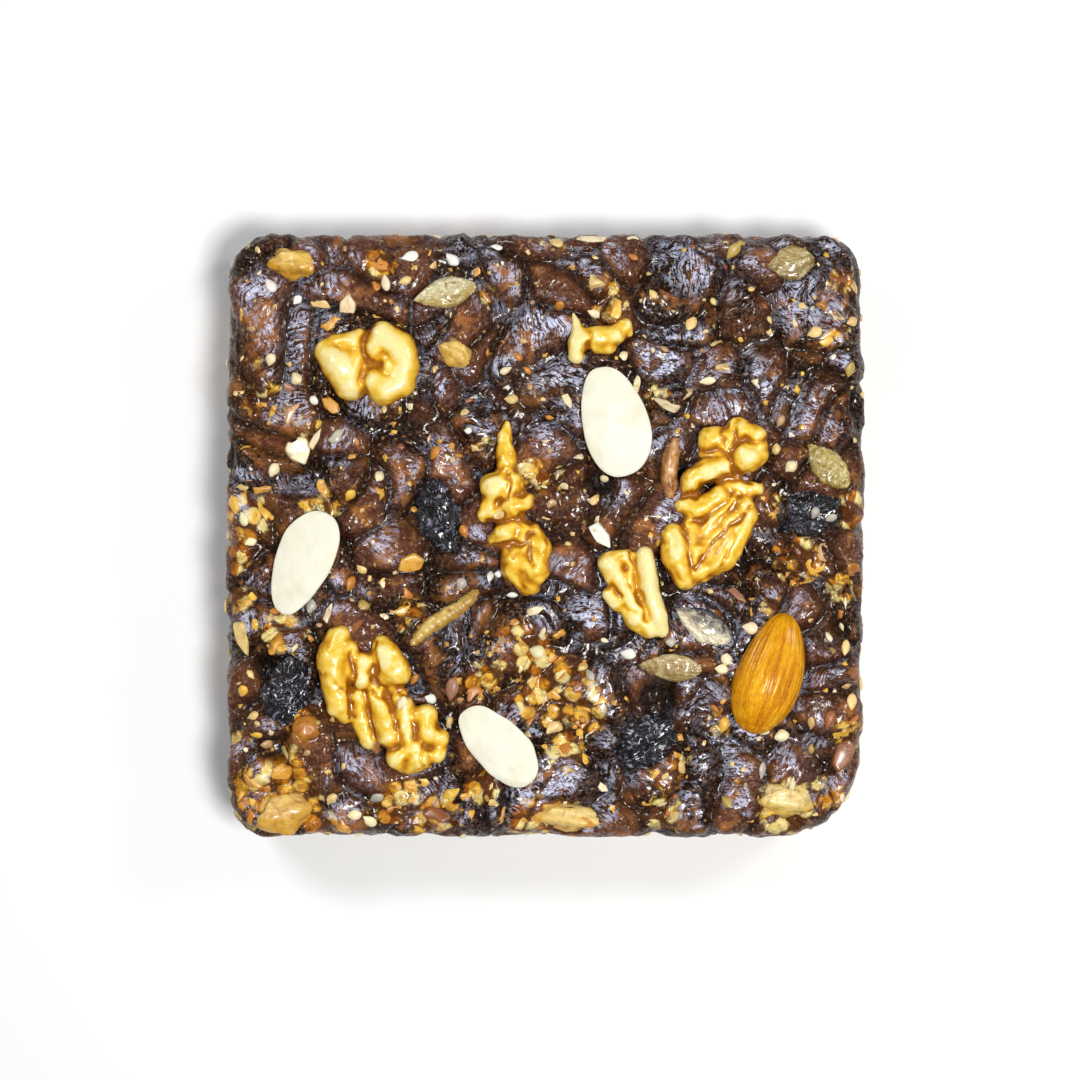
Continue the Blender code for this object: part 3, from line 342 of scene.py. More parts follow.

# Pieces that lie in the paste, read one by one, by kind and tint: pixel, long and short side in mm, and turn
# in degrees
SCATTER = {
    ("ball", "amber"): [(305, 728, 5.6, 5.2, 0)],
    ("chip", "amber"): [(380, 263, 5.4, 3.8, 5), (374, 288, 4.6, 3.8, 70), (486, 296, 4.6, 3.8, 30),
        (357, 442, 3, 1.9, 80), (605, 240, 3, 1.8, 0), (270, 628, 4, 3.2, 0), (308, 640, 3.4, 2.8, 0),
        (475, 695, 5.2, 5, 40), (320, 827, 4, 2.8, -10), (395, 810, 5.4, 2.6, 0), (270, 790, 4.4, 3.4, -30),
        (300, 790, 3.4, 3, 60), (840, 613, 2.4, 2.4, 0), (583, 720, 3.6, 2.8, 40), (567, 750, 4.8, 3.8, 30),
        (534, 692, 4.4, 3, -20), (516, 622, 4, 2.4, 10)],
    ("chip", "cream"): [(258, 272, 3, 2.4, 20), (409, 406, 2.8, 2, 10), (630, 238, 4.4, 1.8, 8),
        (756, 383, 2.3, 1.9, 0), (793, 323, 3, 2.6, -60), (624, 356, 3.6, 3.2, 60), (634, 346, 2.2, 1.8, 0),
        (580, 458, 2.8, 2.5, 0), (564, 486, 2.8, 2.2, 0), (599, 519, 3, 2.4, 30), (297, 647, 2.8, 2.4, 60),
        (385, 618, 3.6, 3, 20), (544, 635, 4.2, 2.4, 60), (542, 654, 2.6, 2, 60)],
    ("chip", "gold"): [(332, 326, 4.8, 4.4, 10), (428, 252, 3.2, 1.8, 0), (477, 272, 3.4, 2.2, 70),
        (378, 317, 2.6, 2.2, 0), (381, 493, 3.6, 2.6, -70), (260, 450, 2.4, 1.6, 30), (245, 447, 4, 1.3, 15),
        (241, 315, 3, 1.6, 80), (582, 475, 3.4, 2.8, -20), (274, 645, 4.4, 3.8, 70), (410, 788, 3.6, 3.4, 20),
        (465, 812, 4.6, 4.2, -10), (282, 775, 5.6, 4.4, 30), (680, 740, 4.2, 3.2, 20),
        (650, 803, 3.4, 2.6, 20), (589, 709, 4, 2.8, -20), (555, 695, 4.8, 3.2, 20), (572, 694, 3.8, 2.6, -30),
        (560, 634, 3.2, 2.4, 10), (520, 640, 5.2, 3.4, 30), (418, 605, 2.8, 1.6, 80), (410, 618, 3.2, 1.8, 60)],
    ("chip", "grey"): [(337, 436, 5.4, 4.2, 20)],
    ("chip", "olive"): [(741, 243, 2.6, 1.8, 20), (800, 265, 3.4, 2.4, 10), (833, 650, 2.2, 2, 0)],
    ("chip", "orange"): [(470, 401, 1.8, 1.8, 0), (852, 723, 4.4, 3, 70), (668, 815, 2.2, 2, 0)],
    ("chip", "pink"): [(288, 386, 4, 3, -30), (449, 471, 4.4, 3.4, 40), (783, 551, 4.8, 3, 30),
        (800, 550, 3.2, 2.6, 0)],
    ("chip", "rust"): [(839, 278, 5.4, 4.6, 30), (779, 505, 5.4, 3.2, 60), (432, 816, 7, 4.4, -10)],
    ("chip", "straw"): [(319, 304, 5, 3.6, -20), (433, 263, 3.8, 2.8, 20), (395, 312, 3, 2.2, 60),
        (466, 413, 2.6, 2.2, 30), (239, 392, 2.6, 2.3, 0), (475, 448, 3.4, 2, 20), (228, 470, 2, 1.6, 0),
        (252, 300, 2.6, 2, 40), (705, 331, 1.9, 1.6, 0), (719, 341, 3.5, 2.1, 10), (722, 368, 4.6, 3.4, 5),
        (594, 502, 4.6, 3.2, 60), (545, 520, 2.8, 2.2, 50), (298, 671, 3.4, 2.8, -30), (374, 626, 2.2, 1.8, 0),
        (521, 668, 3, 2.6, -30), (481, 786, 5.8, 3.8, 20), (494, 803, 3.2, 2.4, 0), (680, 766, 4.6, 3, -40),
        (664, 776, 3.8, 2.6, 20), (460, 700, 2.4, 2, 0)],
    ("chip", "tan"): [(294, 410, 6.6, 4.8, 60), (429, 439, 2.2, 2, 0), (688, 394, 5.6, 2.2, 30),
        (552, 503, 3.8, 2.8, 60), (824, 550, 5, 3, 80), (500, 640, 3.4, 2.4, 0)],
    ("chip", "white"): [(648, 236, 3.4, 1.4, -8), (793, 435, 2.6, 1.8, 0)],
    ("chip", "yellow"): [(256, 624, 3.4, 2.4, 80), (236, 812, 2.4, 2.2, 0)],
    ("flake", "cream"): [(592, 238, 7.2, 1.7, 8)],
    ("flake", "gold"): [(331, 405, 4.6, 2.6, -50), (410, 563, 5.6, 4.2, 10), (532, 820, 6.2, 1.8, -8),
        (578, 822, 7.4, 2.2, -6)],
    ("flake", "rust"): [(843, 755, 7.2, 4, 65)],
    ("heart", "cream"): [(299, 452, 6.4, 5.6, -65)],
    ("sesame", "amber"): [(435, 453, 3.2, 2.2, 60), (350, 584, 3.4, 2.4, 60)],
    ("sesame", "cream"): [(386, 283, 3.4, 2, -80), (296, 378, 2.8, 2.4, -60), (271, 360, 2.7, 2.2, 70),
        (273, 470, 3, 2.3, 60), (379, 477, 2.7, 2.1, 60), (244, 519, 3, 1.9, -70), (594, 313, 3.4, 1.7, -25),
        (707, 381, 3.4, 1.7, 8), (790, 467, 2.8, 2.4, 40), (250, 542, 2.9, 1.9, 30), (537, 652, 3.5, 3, -20),
        (354, 815, 3, 2.2, 5), (369, 821, 3.5, 2.1, -40), (726, 658, 3, 2.2, -70), (721, 669, 2.8, 2, -10),
        (750, 628, 3.4, 2.6, -10), (829, 637, 2.3, 1.3, -60), (762, 731, 2.8, 1.5, 0),
        (781, 736, 3.4, 2.5, 10)],
    ("sesame", "grey"): [(311, 606, 3.9, 2.3, 60), (461, 584, 2.6, 2.2, 60), (376, 798, 3.3, 2.2, 30),
        (670, 642, 2.1, 1.9, 0), (762, 771, 3.6, 1.8, 85), (590, 675, 3, 1.8, -60)],
    ("sesame", "olive"): [(733, 251, 3.9, 2.3, 50), (849, 370, 3.2, 2, 80), (363, 606, 3, 2.7, 50)],
    ("sesame", "pink"): [(452, 689, 4.8, 2.8, 82)],
    ("sesame", "rust"): [(829, 719, 4, 2.4, 70)],
    ("sesame", "straw"): [(405, 281, 2.8, 1.7, 20), (511, 399, 2.8, 2.1, 0), (242, 487, 2.9, 1.6, 0),
        (556, 242, 3.2, 2.4, -30), (691, 324, 3.9, 2.4, 72), (814, 333, 3.2, 2.4, 20), (851, 322, 2.8, 2, 20),
        (776, 448, 3.2, 1.9, -75), (361, 569, 2.6, 2, -50), (253, 716, 2.6, 1.8, 20), (845, 648, 3.4, 1.8, 80),
        (851, 702, 3.6, 2.2, 80), (811, 723, 3.4, 1.5, 85)],
    ("sesame", "tan"): [(265, 745, 2.8, 2, 0), (846, 686, 2, 1.8, 0)],
    ("sesame", "white"): [(271, 286, 3.4, 2.2, -60), (297, 300, 2.2, 1.7, 50), (410, 257, 3.6, 2.3, 16),
        (452, 259, 3.4, 2.3, -45), (496, 247, 2.9, 1.6, 5), (313, 400, 3.3, 1.9, 6), (468, 431, 1.6, 1.4, 0),
        (833, 357, 1.6, 1.5, 0), (498, 574, 1.8, 1.5, 0), (490, 577, 3, 1.4, 70), (512, 595, 2.4, 1.4, 0),
        (430, 699, 2.6, 2, -20), (628, 654, 3.2, 2.2, -8)],
    ("sesame", "yellow"): [(350, 495, 2.8, 2.3, 60), (243, 691, 2.7, 2.1, 70), (256, 735, 2.6, 1.6, 0),
        (724, 725, 3.2, 2.2, 75)],
    ("shard", "cream"): [(348, 304, 4.8, 4.2, 90), (316, 438, 5.2, 1.8, 60), (666, 404, 6, 2.4, 160),
        (637, 383, 5.4, 1.7, 80), (568, 402, 3.8, 1.9, -60), (329, 612, 4.4, 1.7, 75), (536, 610, 4, 2, 20),
        (792, 783, 3, 1.3, 85), (603, 788, 2.8, 1.8, -30)],
    ("shard", "pink"): [(738, 596, 5, 2, -45)],
    ("shard", "straw"): [(243, 639, 7.6, 3.2, -72)],
    ("shard", "tan"): [(673, 545, 3.4, 1.8, 60)],
    ("shard", "white"): [(602, 537, 6.4, 3.4, -50)],
}

# The few that lie on a nut
ON_NUTS = {
    ("sesame", "grey"): [(814, 513, 2.6, 2.0, 70), (830, 518, 2.8, 1.8, 30)],
    ("sesame", "cream"): [(403, 702, 3.0, 2.0, 60), (585, 591, 2.8, 2.2, 30)],
    ("flake", "straw"): [(499, 515, 2.6, 1.8, 20)],
}

# Thin walnut skin: pixels along its middle, width in mm
SKIN_THICKNESS = 0.28 * MM
SKINS = [
    ("walnut_skin_right", [(676, 438), (671, 455), (669, 478), (671, 498)], 3.6),
    ("walnut_skin_left", [(360, 704), (362, 722), (370, 738), (378, 752)], 3.4),
]

# Small bits: clusters in the amber patches (pieces to a square millimetre of radius), the rest at random.
# A tint that stands more than once in a list comes up more often.
SCATTER_SEED = 31
# Share of the slab's width and depth within which pieces lie on the top, and how far from upright
TOP_EDGE = 0.492
STEEPEST = 0.3
CLUSTER_SHARE = 0.15
CLUSTER_SIZES = [1.4, 2.6, 3.6, 4.4, 5.2, 6.0]
CLUSTER_TINTS = ["gold", "straw", "yellow", "gold", "cream", "yellow", "gold", "amber"]
CRUMB_COUNT = 380
CRUMB_TINTS = ["gold", "straw", "straw", "tan", "rust", "straw", "cream", "gold", "yellow"]
FLECK_COUNT = 100
FLECK_TINTS = ["straw", "cream", "tan", "olive", "amber"]
SIDE_SPACING = 6.5 * MM
SIDE_ROWS = 8
SIDE_KINDS = [("sesame", "cream"), ("sesame", "straw"), ("chip", "gold"), ("chip", "straw"),
              ("chip", "amber"), ("crumb", "gold"), ("crumb", "tan"), ("crumb", "rust"), ("chip", "rust"),
              ("crumb", "straw"), ("crumb", "amber"), ("chip", "cream")]
SIDE_LENGTHS = {"sesame": (2.6, 3.5), "chip": (2.0, 5.6), "crumb": (0.9, 1.9)}

TINTS = {
    "white": (0.90, 0.86, 0.76),
    "cream": (0.84, 0.70, 0.44),
    "straw": (0.74, 0.52, 0.20),
    "yellow": (0.80, 0.47, 0.06),
    "gold": (0.68, 0.35, 0.05),
    "amber": (0.52, 0.20, 0.025),
    "orange": (0.52, 0.14, 0.012),
    "rust": (0.28, 0.09, 0.022),
    "tan": (0.50, 0.31, 0.14),
    "pink": (0.36, 0.17, 0.10),
    "olive": (0.42, 0.30, 0.07),
    "grey": (0.44, 0.40, 0.33),
}


def at_pixel(u, v):
    """Point of the slab's top plane that the photograph shows at this pixel."""
    return (u - MIDDLE_PIXEL[0]) * PIXEL, (MIDDLE_PIXEL[1] - v) * PIXEL


def step(value):
    """0 to 1 with a soft start and end, for a number or an array."""
    value = np.clip(value, 0, 1)
    return value * value * (3 - 2 * value)


# Shader graphs

class Graph:
    """A material whose nodes are added by short calls."""

    def __init__(self, name):
        self.material = bpy.data.materials.new(name)
        self.material.use_nodes = True
        self.tree = self.material.node_tree
        self.shader = self.tree.nodes["Principled BSDF"]

    def add(self, kind, inputs=None, **settings):
        made = self.tree.nodes.new("ShaderNode" + kind)
        for key, value in settings.items():
            setattr(made, key, value)
        for key, value in (inputs or {}).items():
            self.put(made.inputs[key], value)
        return made

    def put(self, socket, value):
        if isinstance(value, bpy.types.NodeSocket):
            self.tree.links.new(value, socket)
        else:
            socket.default_value = value

    def set(self, **inputs):
        for key, value in inputs.items():
            self.put(self.shader.inputs[key.replace("_", " ")], value)

    def glow(self, weight, *radius):
        """Light that passes through, with its reach in millimetres for red, green and blue."""
        self.set(Subsurface_Weight=weight, Subsurface_Radius=[reach * MM for reach in radius],
                 Subsurface_Scale=1.0)

    def attribute(self, name, output="Fac"):
        return self.add("Attribute", attribute_name=name).outputs[output]

    def place(self):
        """Object coordinates in millimetres."""
        where = self.add("TexCoord").outputs["Object"]
        return self.add("Mapping", {"Vector": where, "Scale": (1000, 1000, 1000)}).outputs["Vector"]

    def noise(self, vector, size, detail=2.0, rough=0.5, distortion=0.0):
        """Noise with features of this size, in the units of the vector."""
        inputs = {"Vector": vector, "Scale": 1 / size, "Detail": detail, "Roughness": rough,
                  "Distortion": distortion}
        return self.add("TexNoise", inputs).outputs["Fac"]

    def cells(self, vector, size, output):
        return self.add("TexVoronoi", {"Vector": vector, "Scale": 1 / size}).outputs[output]

    def warped(self, vector, size, amount):
        """The vector pushed about by noise with features of this size."""
        push = self.add("TexNoise", {"Vector": vector, "Scale": 1 / size, "Detail": 2.0}).outputs["Color"]
        made = self.add("VectorMath", operation="MULTIPLY_ADD")
        for socket, value in zip(made.inputs, (push, (amount,) * 3, vector)):
            self.put(socket, value)
        return made.outputs["Vector"]

    def math(self, operation, first, second=0.5, clamp=False):
        made = self.add("Math", operation=operation, use_clamp=clamp)
        self.put(made.inputs[0], first)
        self.put(made.inputs[1], second)
        return made.outputs[0]

    def plus(self, first, second):
        return self.math("ADD", first, second)

    def minus(self, first, second):
        return self.math("SUBTRACT", first, second)

    def times(self, first, second):
        return self.math("MULTIPLY", first, second)

    def band(self, value, low, high):
        """0 below low, 1 above high, smooth between."""
        inputs = {"Value": value, "From Min": low, "From Max": high}
        return self.add("MapRange", inputs, interpolation_type="SMOOTHSTEP").outputs["Result"]

    def mix(self, share, first, second, blend="MIX"):
        made = self.add("Mix", data_type="RGBA", blend_type=blend)
        self.put(made.inputs[0], share)
        for socket, value in ((made.inputs[6], first), (made.inputs[7], second)):
            self.put(socket, value if isinstance(value, bpy.types.NodeSocket) else (*value, 1))
        return made.outputs[2]

    def over(self, base, colour, mask, share):
        """The base with a colour laid over it by this share of the mask."""
        return self.mix(self.times(mask, share), base, colour)

    def ramp(self, value, *stops):
        made = self.add("ValToRGB", {"Fac": value})
        elements = made.color_ramp.elements
        while len(elements) < len(stops):
            elements.new(0.5)
        for element, (position, colour) in zip(elements, stops):
            element.position = position
            element.color = (*colour, 1)
        return made.outputs["Color"]

    def bumps(self, *layers):
        """The normal after bumps of (height, millimetres, strength)."""
        normal = None
        for height, distance, strength in layers:
            inputs = {"Height": height, "Distance": distance * MM, "Strength": strength}
            if normal is not None:
                inputs["Normal"] = normal
            normal = self.add("Bump", inputs).outputs["Normal"]
        return normal


def paste_material():
    """Dark sticky paste: black brown to plum, red brown in places, amber and gold where nuts are ground
    into it, with painted streaks of silvery sheen that run with the grain, and painted shade in its creases and
    pits."""
    g = Graph("date_paste")
    place = g.place()
    tone, crease, hollow, amber, sheen = map(g.attribute, ("tone", "crease", "hollow", "amber", "sheen"))
    broad = g.noise(place, 9.0, 3, 0.6)
    mid = g.noise(place, 3.0, 4, 0.65, 0.8)
    streak = g.noise(g.attribute("grain", "Vector"), 0.80, 4, 0.70, 1.3)
    facet = g.noise(place, 0.75, 3, 0.7, 0.6)
    # The flesh of the dates, from black brown to plum, then red brown and fine pinkish specks
    flesh = g.mix(g.band(g.plus(broad, g.times(tone, 0.35)), 0.50, 0.85),
                  (0.010, 0.0034, 0.0020), (0.105, 0.034, 0.017))
    brown = g.band(g.plus(g.noise(place, 5.0, 3, 0.6, 0.6), g.times(broad, 0.6)), 0.82, 1.00)
    flesh = g.over(flesh, (0.38, 0.140, 0.030), brown, 0.75)
    flesh = g.over(flesh, (0.42, 0.19, 0.085), g.band(facet, 0.52, 0.62), 0.35)
    # Painted sheen: a grey veil where the silvery sheen is painted
    flesh = g.over(flesh, (0.12, 0.085, 0.095), sheen, 0.15)
    # Painted shade: black brown darkening the creases between the lumps
    flesh = g.over(flesh, (0.008, 0.0024, 0.0008), crease, 0.8)
    # Amber: ground nuts as blobs of gold in resin
    nutty = g.warped(place, 3.0, 1.8)
    blob = g.cells(nutty, 3.0, "Distance")
    resin = g.ramp(g.plus(g.times(mid, 0.5), g.times(g.cells(nutty, 3.0, "Color"), 0.5)),
                   (0.34, (0.26, 0.065, 0.003)), (0.43, (0.60, 0.22, 0.010)),
                   (0.52, (0.84, 0.47, 0.050)), (0.62, (0.90, 0.72, 0.28)))
    resin = g.mix(g.band(blob, 0.42, 0.66), resin, (0.10, 0.030, 0.005))
    glaze = g.plus(g.plus(g.times(amber, 0.60), g.times(crease, 0.06)), g.times(mid, 1.1))
    glaze = g.band(glaze, 0.78, 1.00)
    flesh = g.mix(glaze, flesh, resin)
    specks = g.band(g.noise(place, 0.9, 1, 0.5), 0.68, 0.74)
    flesh = g.over(flesh, (0.66, 0.44, 0.18), specks, 0.6)
    # Painted highlight: the silvery streaks; painted shade: black in the pits
    glint = g.times(g.band(streak, 0.45, 0.52), g.band(facet, 0.40, 0.49))
    shine = g.math("MULTIPLY", glint, g.times(sheen, 1.15), clamp=True)
    flesh = g.mix(shine, flesh, (0.70, 0.74, 0.96))
    flesh = g.over(flesh, (0.004, 0.003, 0.003), hollow, 0.92)
    normal = g.bumps((mid, 1.4, 0.7), (g.times(blob, glaze), -1.2, 0.9), (facet, 0.28, 0.9),
                     (streak, 0.30, 1.0))
    g.set(Base_Color=flesh, Normal=normal, Coat_Roughness=0.12,
          Roughness=g.minus(g.plus(0.20, g.times(mid, 0.28)), g.times(sheen, 0.08)),
          Specular_IOR_Level=g.plus(0.06, g.times(glint, 0.35)),
          Specular_Tint=g.mix(sheen, (1.0, 0.85, 0.75), (0.85, 0.90, 1.0)),
          Coat_Weight=g.plus(0.04, g.times(glint, 0.55)))
    return g.material


def kernel_material():
    """Walnut: pale yellow on swellings, orange brown in folds and low on sides, partly painted light and shade.
    """
    g = Graph("walnut")
    place = g.place()
    mottle = g.noise(place, 3.0, 3, 0.6)
    fine = g.noise(place, 0.6, 3, 0.6)
    grain = g.noise(place, 1.3, 3, 0.6, 0.9)
    # Painted light and shade mixed with the kernel's own tone: the fold and low values lighten swellings and
    # tops and darken folds and low sides
    level = g.plus(g.attribute("fold"), g.times(g.minus(mottle, 0.5), 0.5))
    level = g.minus(level, g.times(g.attribute("low"), 0.22))
    colour = g.ramp(level, (0.02, (0.30, 0.095, 0.004)), (0.20, (0.54, 0.23, 0.008)),
                    (0.40, (0.74, 0.41, 0.022)), (0.60, (0.84, 0.57, 0.075)), (0.90, (0.89, 0.75, 0.34)))
    veins = g.band(g.math("ABSOLUTE", g.minus(grain, 0.5)), 0.035, 0.0)
    colour = g.over(colour, (0.50, 0.19, 0.012), veins, 0.16)
    colour = g.over(colour, (0.46, 0.20, 0.02), g.band(fine, 0.62, 0.74), 0.25)
    rough = g.add("MapRange", {"Value": mottle, "To Min": 0.20, "To Max": 0.36}).outputs["Result"]
    g.set(Base_Color=colour, Roughness=rough, Normal=g.bumps((grain, 0.22, 0.4), (fine, 0.06, 0.6)),
          Coat_Weight=0.5, Coat_Roughness=0.10, Specular_Tint=(1.0, 0.86, 0.5, 1))
    g.glow(0.2, 1.4, 0.7, 0.2)
    return g.material


def almond_flesh_material():
    """Ivory cut face of a split almond, tan at its rim."""
    g = Graph("almond_flesh")
    place = g.place()
    rim = g.attribute("rim")
    colour = g.ramp(g.noise(place, 5.0, 2, 0.5), (0.3, (0.70, 0.67, 0.52)), (0.6, (0.76, 0.74, 0.62)),
                    (0.8, (0.80, 0.79, 0.70)))
    colour = g.over(colour, (0.66, 0.44, 0.16), g.times(rim, rim), 0.8)
    normal = g.bumps((g.noise(place, 1.6, 3, 0.5), 0.25, 0.35), (g.noise(place, 0.35, 2, 0.5), 0.05, 0.4))
    g.set(Base_Color=colour, Roughness=0.5, Normal=normal)
    g.glow(0.3, 1.4, 1.0, 0.6)
    return g.material


def almond_skin_material():
    """Orange brown skin of a whole almond, streaked along its length."""
    g = Graph("almond_skin")
    place = g.place()
    streak = g.noise(g.attribute("grain", "Vector"), 0.38, 4, 0.7, 0.9)
    level = g.plus(g.times(streak, 0.75), g.times(g.attribute("rib"), 0.22))
    level = g.plus(level, g.times(g.minus(g.noise(place, 4.0, 3, 0.6), 0.5), 0.35))
    colour = g.ramp(level, (0.26, (0.36, 0.095, 0.001)), (0.42, (0.56, 0.20, 0.002)),
                    (0.56, (0.72, 0.32, 0.003)), (0.74, (0.88, 0.52, 0.03)))
    normal = g.bumps((streak, 0.30, 0.9), (g.noise(place, 0.4, 2, 0.5), 0.05, 0.6))
    g.set(Base_Color=colour, Roughness=0.26, Normal=normal, Coat_Weight=0.25, Coat_Roughness=0.10,
          Specular_Tint=(1.0, 0.66, 0.22, 1))
    return g.material


def seed_material():
    """Melon seeds: mottled hull with fine lines, glazed with syrup in places."""
    g = Graph("melon_seed")
    tint = g.attribute("tint", "Color")
    lines = g.noise(g.attribute("grain", "Vector"), 0.35, 3, 0.6, 0.5)
    mottle = g.noise(g.place(), 1.8, 4, 0.65, 0.8)
    colour = g.mix(g.band(lines, 0.46, 0.58), tint, g.mix(1.0, tint, (0.70, 0.62, 0.48), "MULTIPLY"))
    colour = g.over(colour, (0.20, 0.08, 0.015), g.band(mottle, 0.54, 0.68), 0.7)
    colour = g.over(colour, (0.74, 0.68, 0.44), g.band(mottle, 0.46, 0.34), 0.5)
    g.set(Base_Color=colour, Roughness=0.32, Normal=g.bumps((lines, 0.22, 0.8), (mottle, 0.45, 0.7)),
          Coat_Weight=0.7, Coat_Roughness=0.12)
    return g.material


def tinted_material(name, gloss, mottle_size, darker):
    """Seeds, chips and crumbs: each has its own tint in the mesh, mottled and dark in places."""
    g = Graph(name)
    place = g.place()
    tint = g.attribute("tint", "Color")
    share = g.times(g.band(g.noise(place, mottle_size, 3, 0.6), 0.45, 0.75), darker)
    colour = g.mix(share, tint, g.mix(1.0, tint, (0.50, 0.30, 0.14), "MULTIPLY"))
    g.set(Base_Color=colour, Roughness=0.42, Normal=g.bumps((g.noise(place, 0.7, 3, 0.6), 0.2, 0.6)),
          Coat_Weight=gloss, Coat_Roughness=0.18)
    g.glow(0.2, 1.2, 0.7, 0.3)
    return g.material


def raisin_material():
    """Black, with painted silver blue highlights on the ridges."""
    g = Graph("raisin")
    place = g.place()
    wrinkle = g.noise(place, 2.0, 4, 0.62, 1.2)
    # Painted highlight: the silver blue at the top of the ramp
    colour = g.ramp(wrinkle, (0.42, (0.003, 0.003, 0.004)), (0.56, (0.014, 0.011, 0.018)),
                    (0.66, (0.26, 0.27, 0.36)))
    normal = g.bumps((wrinkle, 1.6, 0.9), (g.noise(place, 0.4, 2, 0.5), 0.06, 0.6))
    g.set(Base_Color=colour, Roughness=0.24, Normal=normal, Coat_Weight=0.8, Coat_Roughness=0.10)
    return g.material


def skin_material():
    """The thin brown skin that peels off a walnut."""
    g = Graph("walnut_skin")
    place = g.place()
    colour = g.ramp(g.noise(place, 1.5, 4, 0.65), (0.3, (0.22, 0.075, 0.02)), (0.5, (0.45, 0.20, 0.06)),
                    (0.7, (0.70, 0.44, 0.18)))
    g.set(Base_Color=colour, Roughness=0.42, Normal=g.bumps((g.noise(place, 0.6, 3, 0.6), 0.2, 0.7)),
          Coat_Weight=0.3, Coat_Roughness=0.2)
    return g.material


def floor_material():
    g = Graph("floor_paper")
    g.set(Base_Color=(0.90, 0.90, 0.90, 1), Roughness=0.8)
    return g.material


# Meshes

def mesh_of(name, verts, faces):
    mesh = bpy.data.meshes.new(name)
    mesh.from_pydata(verts, [], faces)
    mesh.update()
    return mesh


def new_object(name, mesh, material):
    made = bpy.data.objects.new(name, mesh)
    bpy.context.scene.collection.objects.link(made)
    mesh.materials.append(material)
    return made


def put(mesh, **layers):
    """Values at the vertices, by name: single numbers, vectors or colours."""
    for name, values in layers.items():
        data = np.asarray(values, np.float32).reshape(-1)
        kind, key = LAYER_KINDS[len(data) // len(mesh.vertices)]
        mesh.attributes.new(name, kind, "POINT").data.foreach_set(key, data)


def smooth(thing, angle):
    """Smooth shading, with edges sharper than this many degrees kept."""
    thing.data.shade_smooth()
    thing.data.set_sharp_from_angle(angle=math.radians(angle))


def piece(name, verts, faces, material, angle=60, **layers):
    mesh = mesh_of(name, verts, faces)
    put(mesh, **layers)
    made = new_object(name, mesh, material)
    smooth(made, angle)
    return made


def bmesh_arrays(bm):
    bm.verts.ensure_lookup_table()
    verts = [v.co.copy() for v in bm.verts]
    faces = [[v.index for v in f.verts] for f in bm.faces]
    bm.free()
    return verts, faces


def icosphere(subdivisions, radius=0.5):
    bm = bmesh.new()
    bmesh.ops.create_icosphere(bm, subdivisions=subdivisions, radius=radius)
    return bmesh_arrays(bm)


def outwards(bm):
    bmesh.ops.recalc_face_normals(bm, faces=bm.faces)
    if bm.calc_volume(signed=True) < 0:
        bmesh.ops.reverse_faces(bm, faces=bm.faces)


# The slab

def rounded(points):
    """The plain block's points moved so that its shoulders and corners are round, as in its solid."""
    x, y, z = points.T
    over_x = np.maximum(np.abs(x) - (SLAB_WIDTH / 2 - SHOULDER), 0)
    over_y = np.maximum(np.abs(y) - (SLAB_DEPTH / 2 - SHOULDER), 0)
    edge = np.maximum(over_x, over_y) / SHOULDER
    rise = np.maximum(z - (SLAB_HEIGHT - SHOULDER), 0) / SHOULDER
    shrink = np.where(rise > 0, 1 - np.sqrt(1 - rise**2 / 2), 0)
    shoulder = SLAB_HEIGHT - SHOULDER + rise * np.sqrt(1 - edge**2 / 2) * SHOULDER
    z = np.where((edge > 0) & (rise > 0), shoulder, z)
    x = np.sign(x) * (np.abs(x) - over_x * shrink)
    y = np.sign(y) * (np.abs(y) - over_y * shrink)
    for (side_x, side_y), radius in CORNERS.items():
        a = (x * side_x - (SLAB_WIDTH / 2 - radius)) / radius
        b = (y * side_y - (SLAB_DEPTH / 2 - radius)) / radius
        there = (a > 0) & (b > 0)
        flat_a, flat_b = np.where(there, a, 0), np.where(there, b, 0)
        round_a = flat_a * np.sqrt(1 - flat_b**2 / 2)
        round_b = flat_b * np.sqrt(1 - flat_a**2 / 2)
        x = np.where(there, side_x * (SLAB_WIDTH / 2 - radius + round_a * radius), x)
        y = np.where(there, side_y * (SLAB_DEPTH / 2 - radius + round_b * radius), y)
    return np.stack([x, y, z], 1)


def block():
    """A fine grid over the top, rings down the sides and one face underneath."""
    columns, rows = round(SLAB_WIDTH / GRID), round(SLAB_DEPTH / GRID)
    u, v = np.meshgrid(np.linspace(-0.5, 0.5, columns + 1), np.linspace(-0.5, 0.5, rows + 1), indexing="ij")
    top = np.stack([u * SLAB_WIDTH, v * SLAB_DEPTH, np.full_like(u, SLAB_HEIGHT)], 2).reshape(-1, 3)
    index = np.arange(len(top)).reshape(columns + 1, rows + 1)
    corners = [index[:-1, :-1], index[1:, :-1], index[1:, 1:], index[:-1, 1:]]
    faces = np.stack(corners, 2).reshape(-1, 4).tolist()
    ring = np.concatenate([index[:-1, 0], index[-1, :-1], index[:0:-1, -1], index[0, :0:-1]])
    steps = round((SLAB_HEIGHT - FOOT) / SIDE_GRID)
    levels = [(0.0, SLAB_HEIGHT - (SLAB_HEIGHT - FOOT) * i / steps) for i in range(1, steps + 1)]
    turns = [math.pi / 8 * i for i in range(1, 5)]
    levels += [(FOOT * (1 - math.cos(a)), FOOT * (1 - math.sin(a))) for a in turns]
    verts = [top]
    above = ring
    for inset, height in levels:
        grow = (1 - 2 * inset / SLAB_WIDTH, 1 - 2 * inset / SLAB_DEPTH, 0)
        verts.append(top[ring] * grow + (0, 0, height))
        below = np.arange(len(ring)) + sum(len(part) for part in verts[:-1])
        faces += np.stack([above, below, np.roll(below, -1), np.roll(above, -1)], 1).tolist()
        above = below
    faces.append(above[::-1].tolist())
    return rounded(np.concatenate(verts)), faces


def normals_of(points, faces):
    mesh = mesh_of("facing", points, faces)
    normals = np.empty(len(points) * 3, np.float32)
    mesh.vertices.foreach_get("normal", normals)
    bpy.data.meshes.remove(mesh)
    return normals.reshape(-1, 3).astype(float)


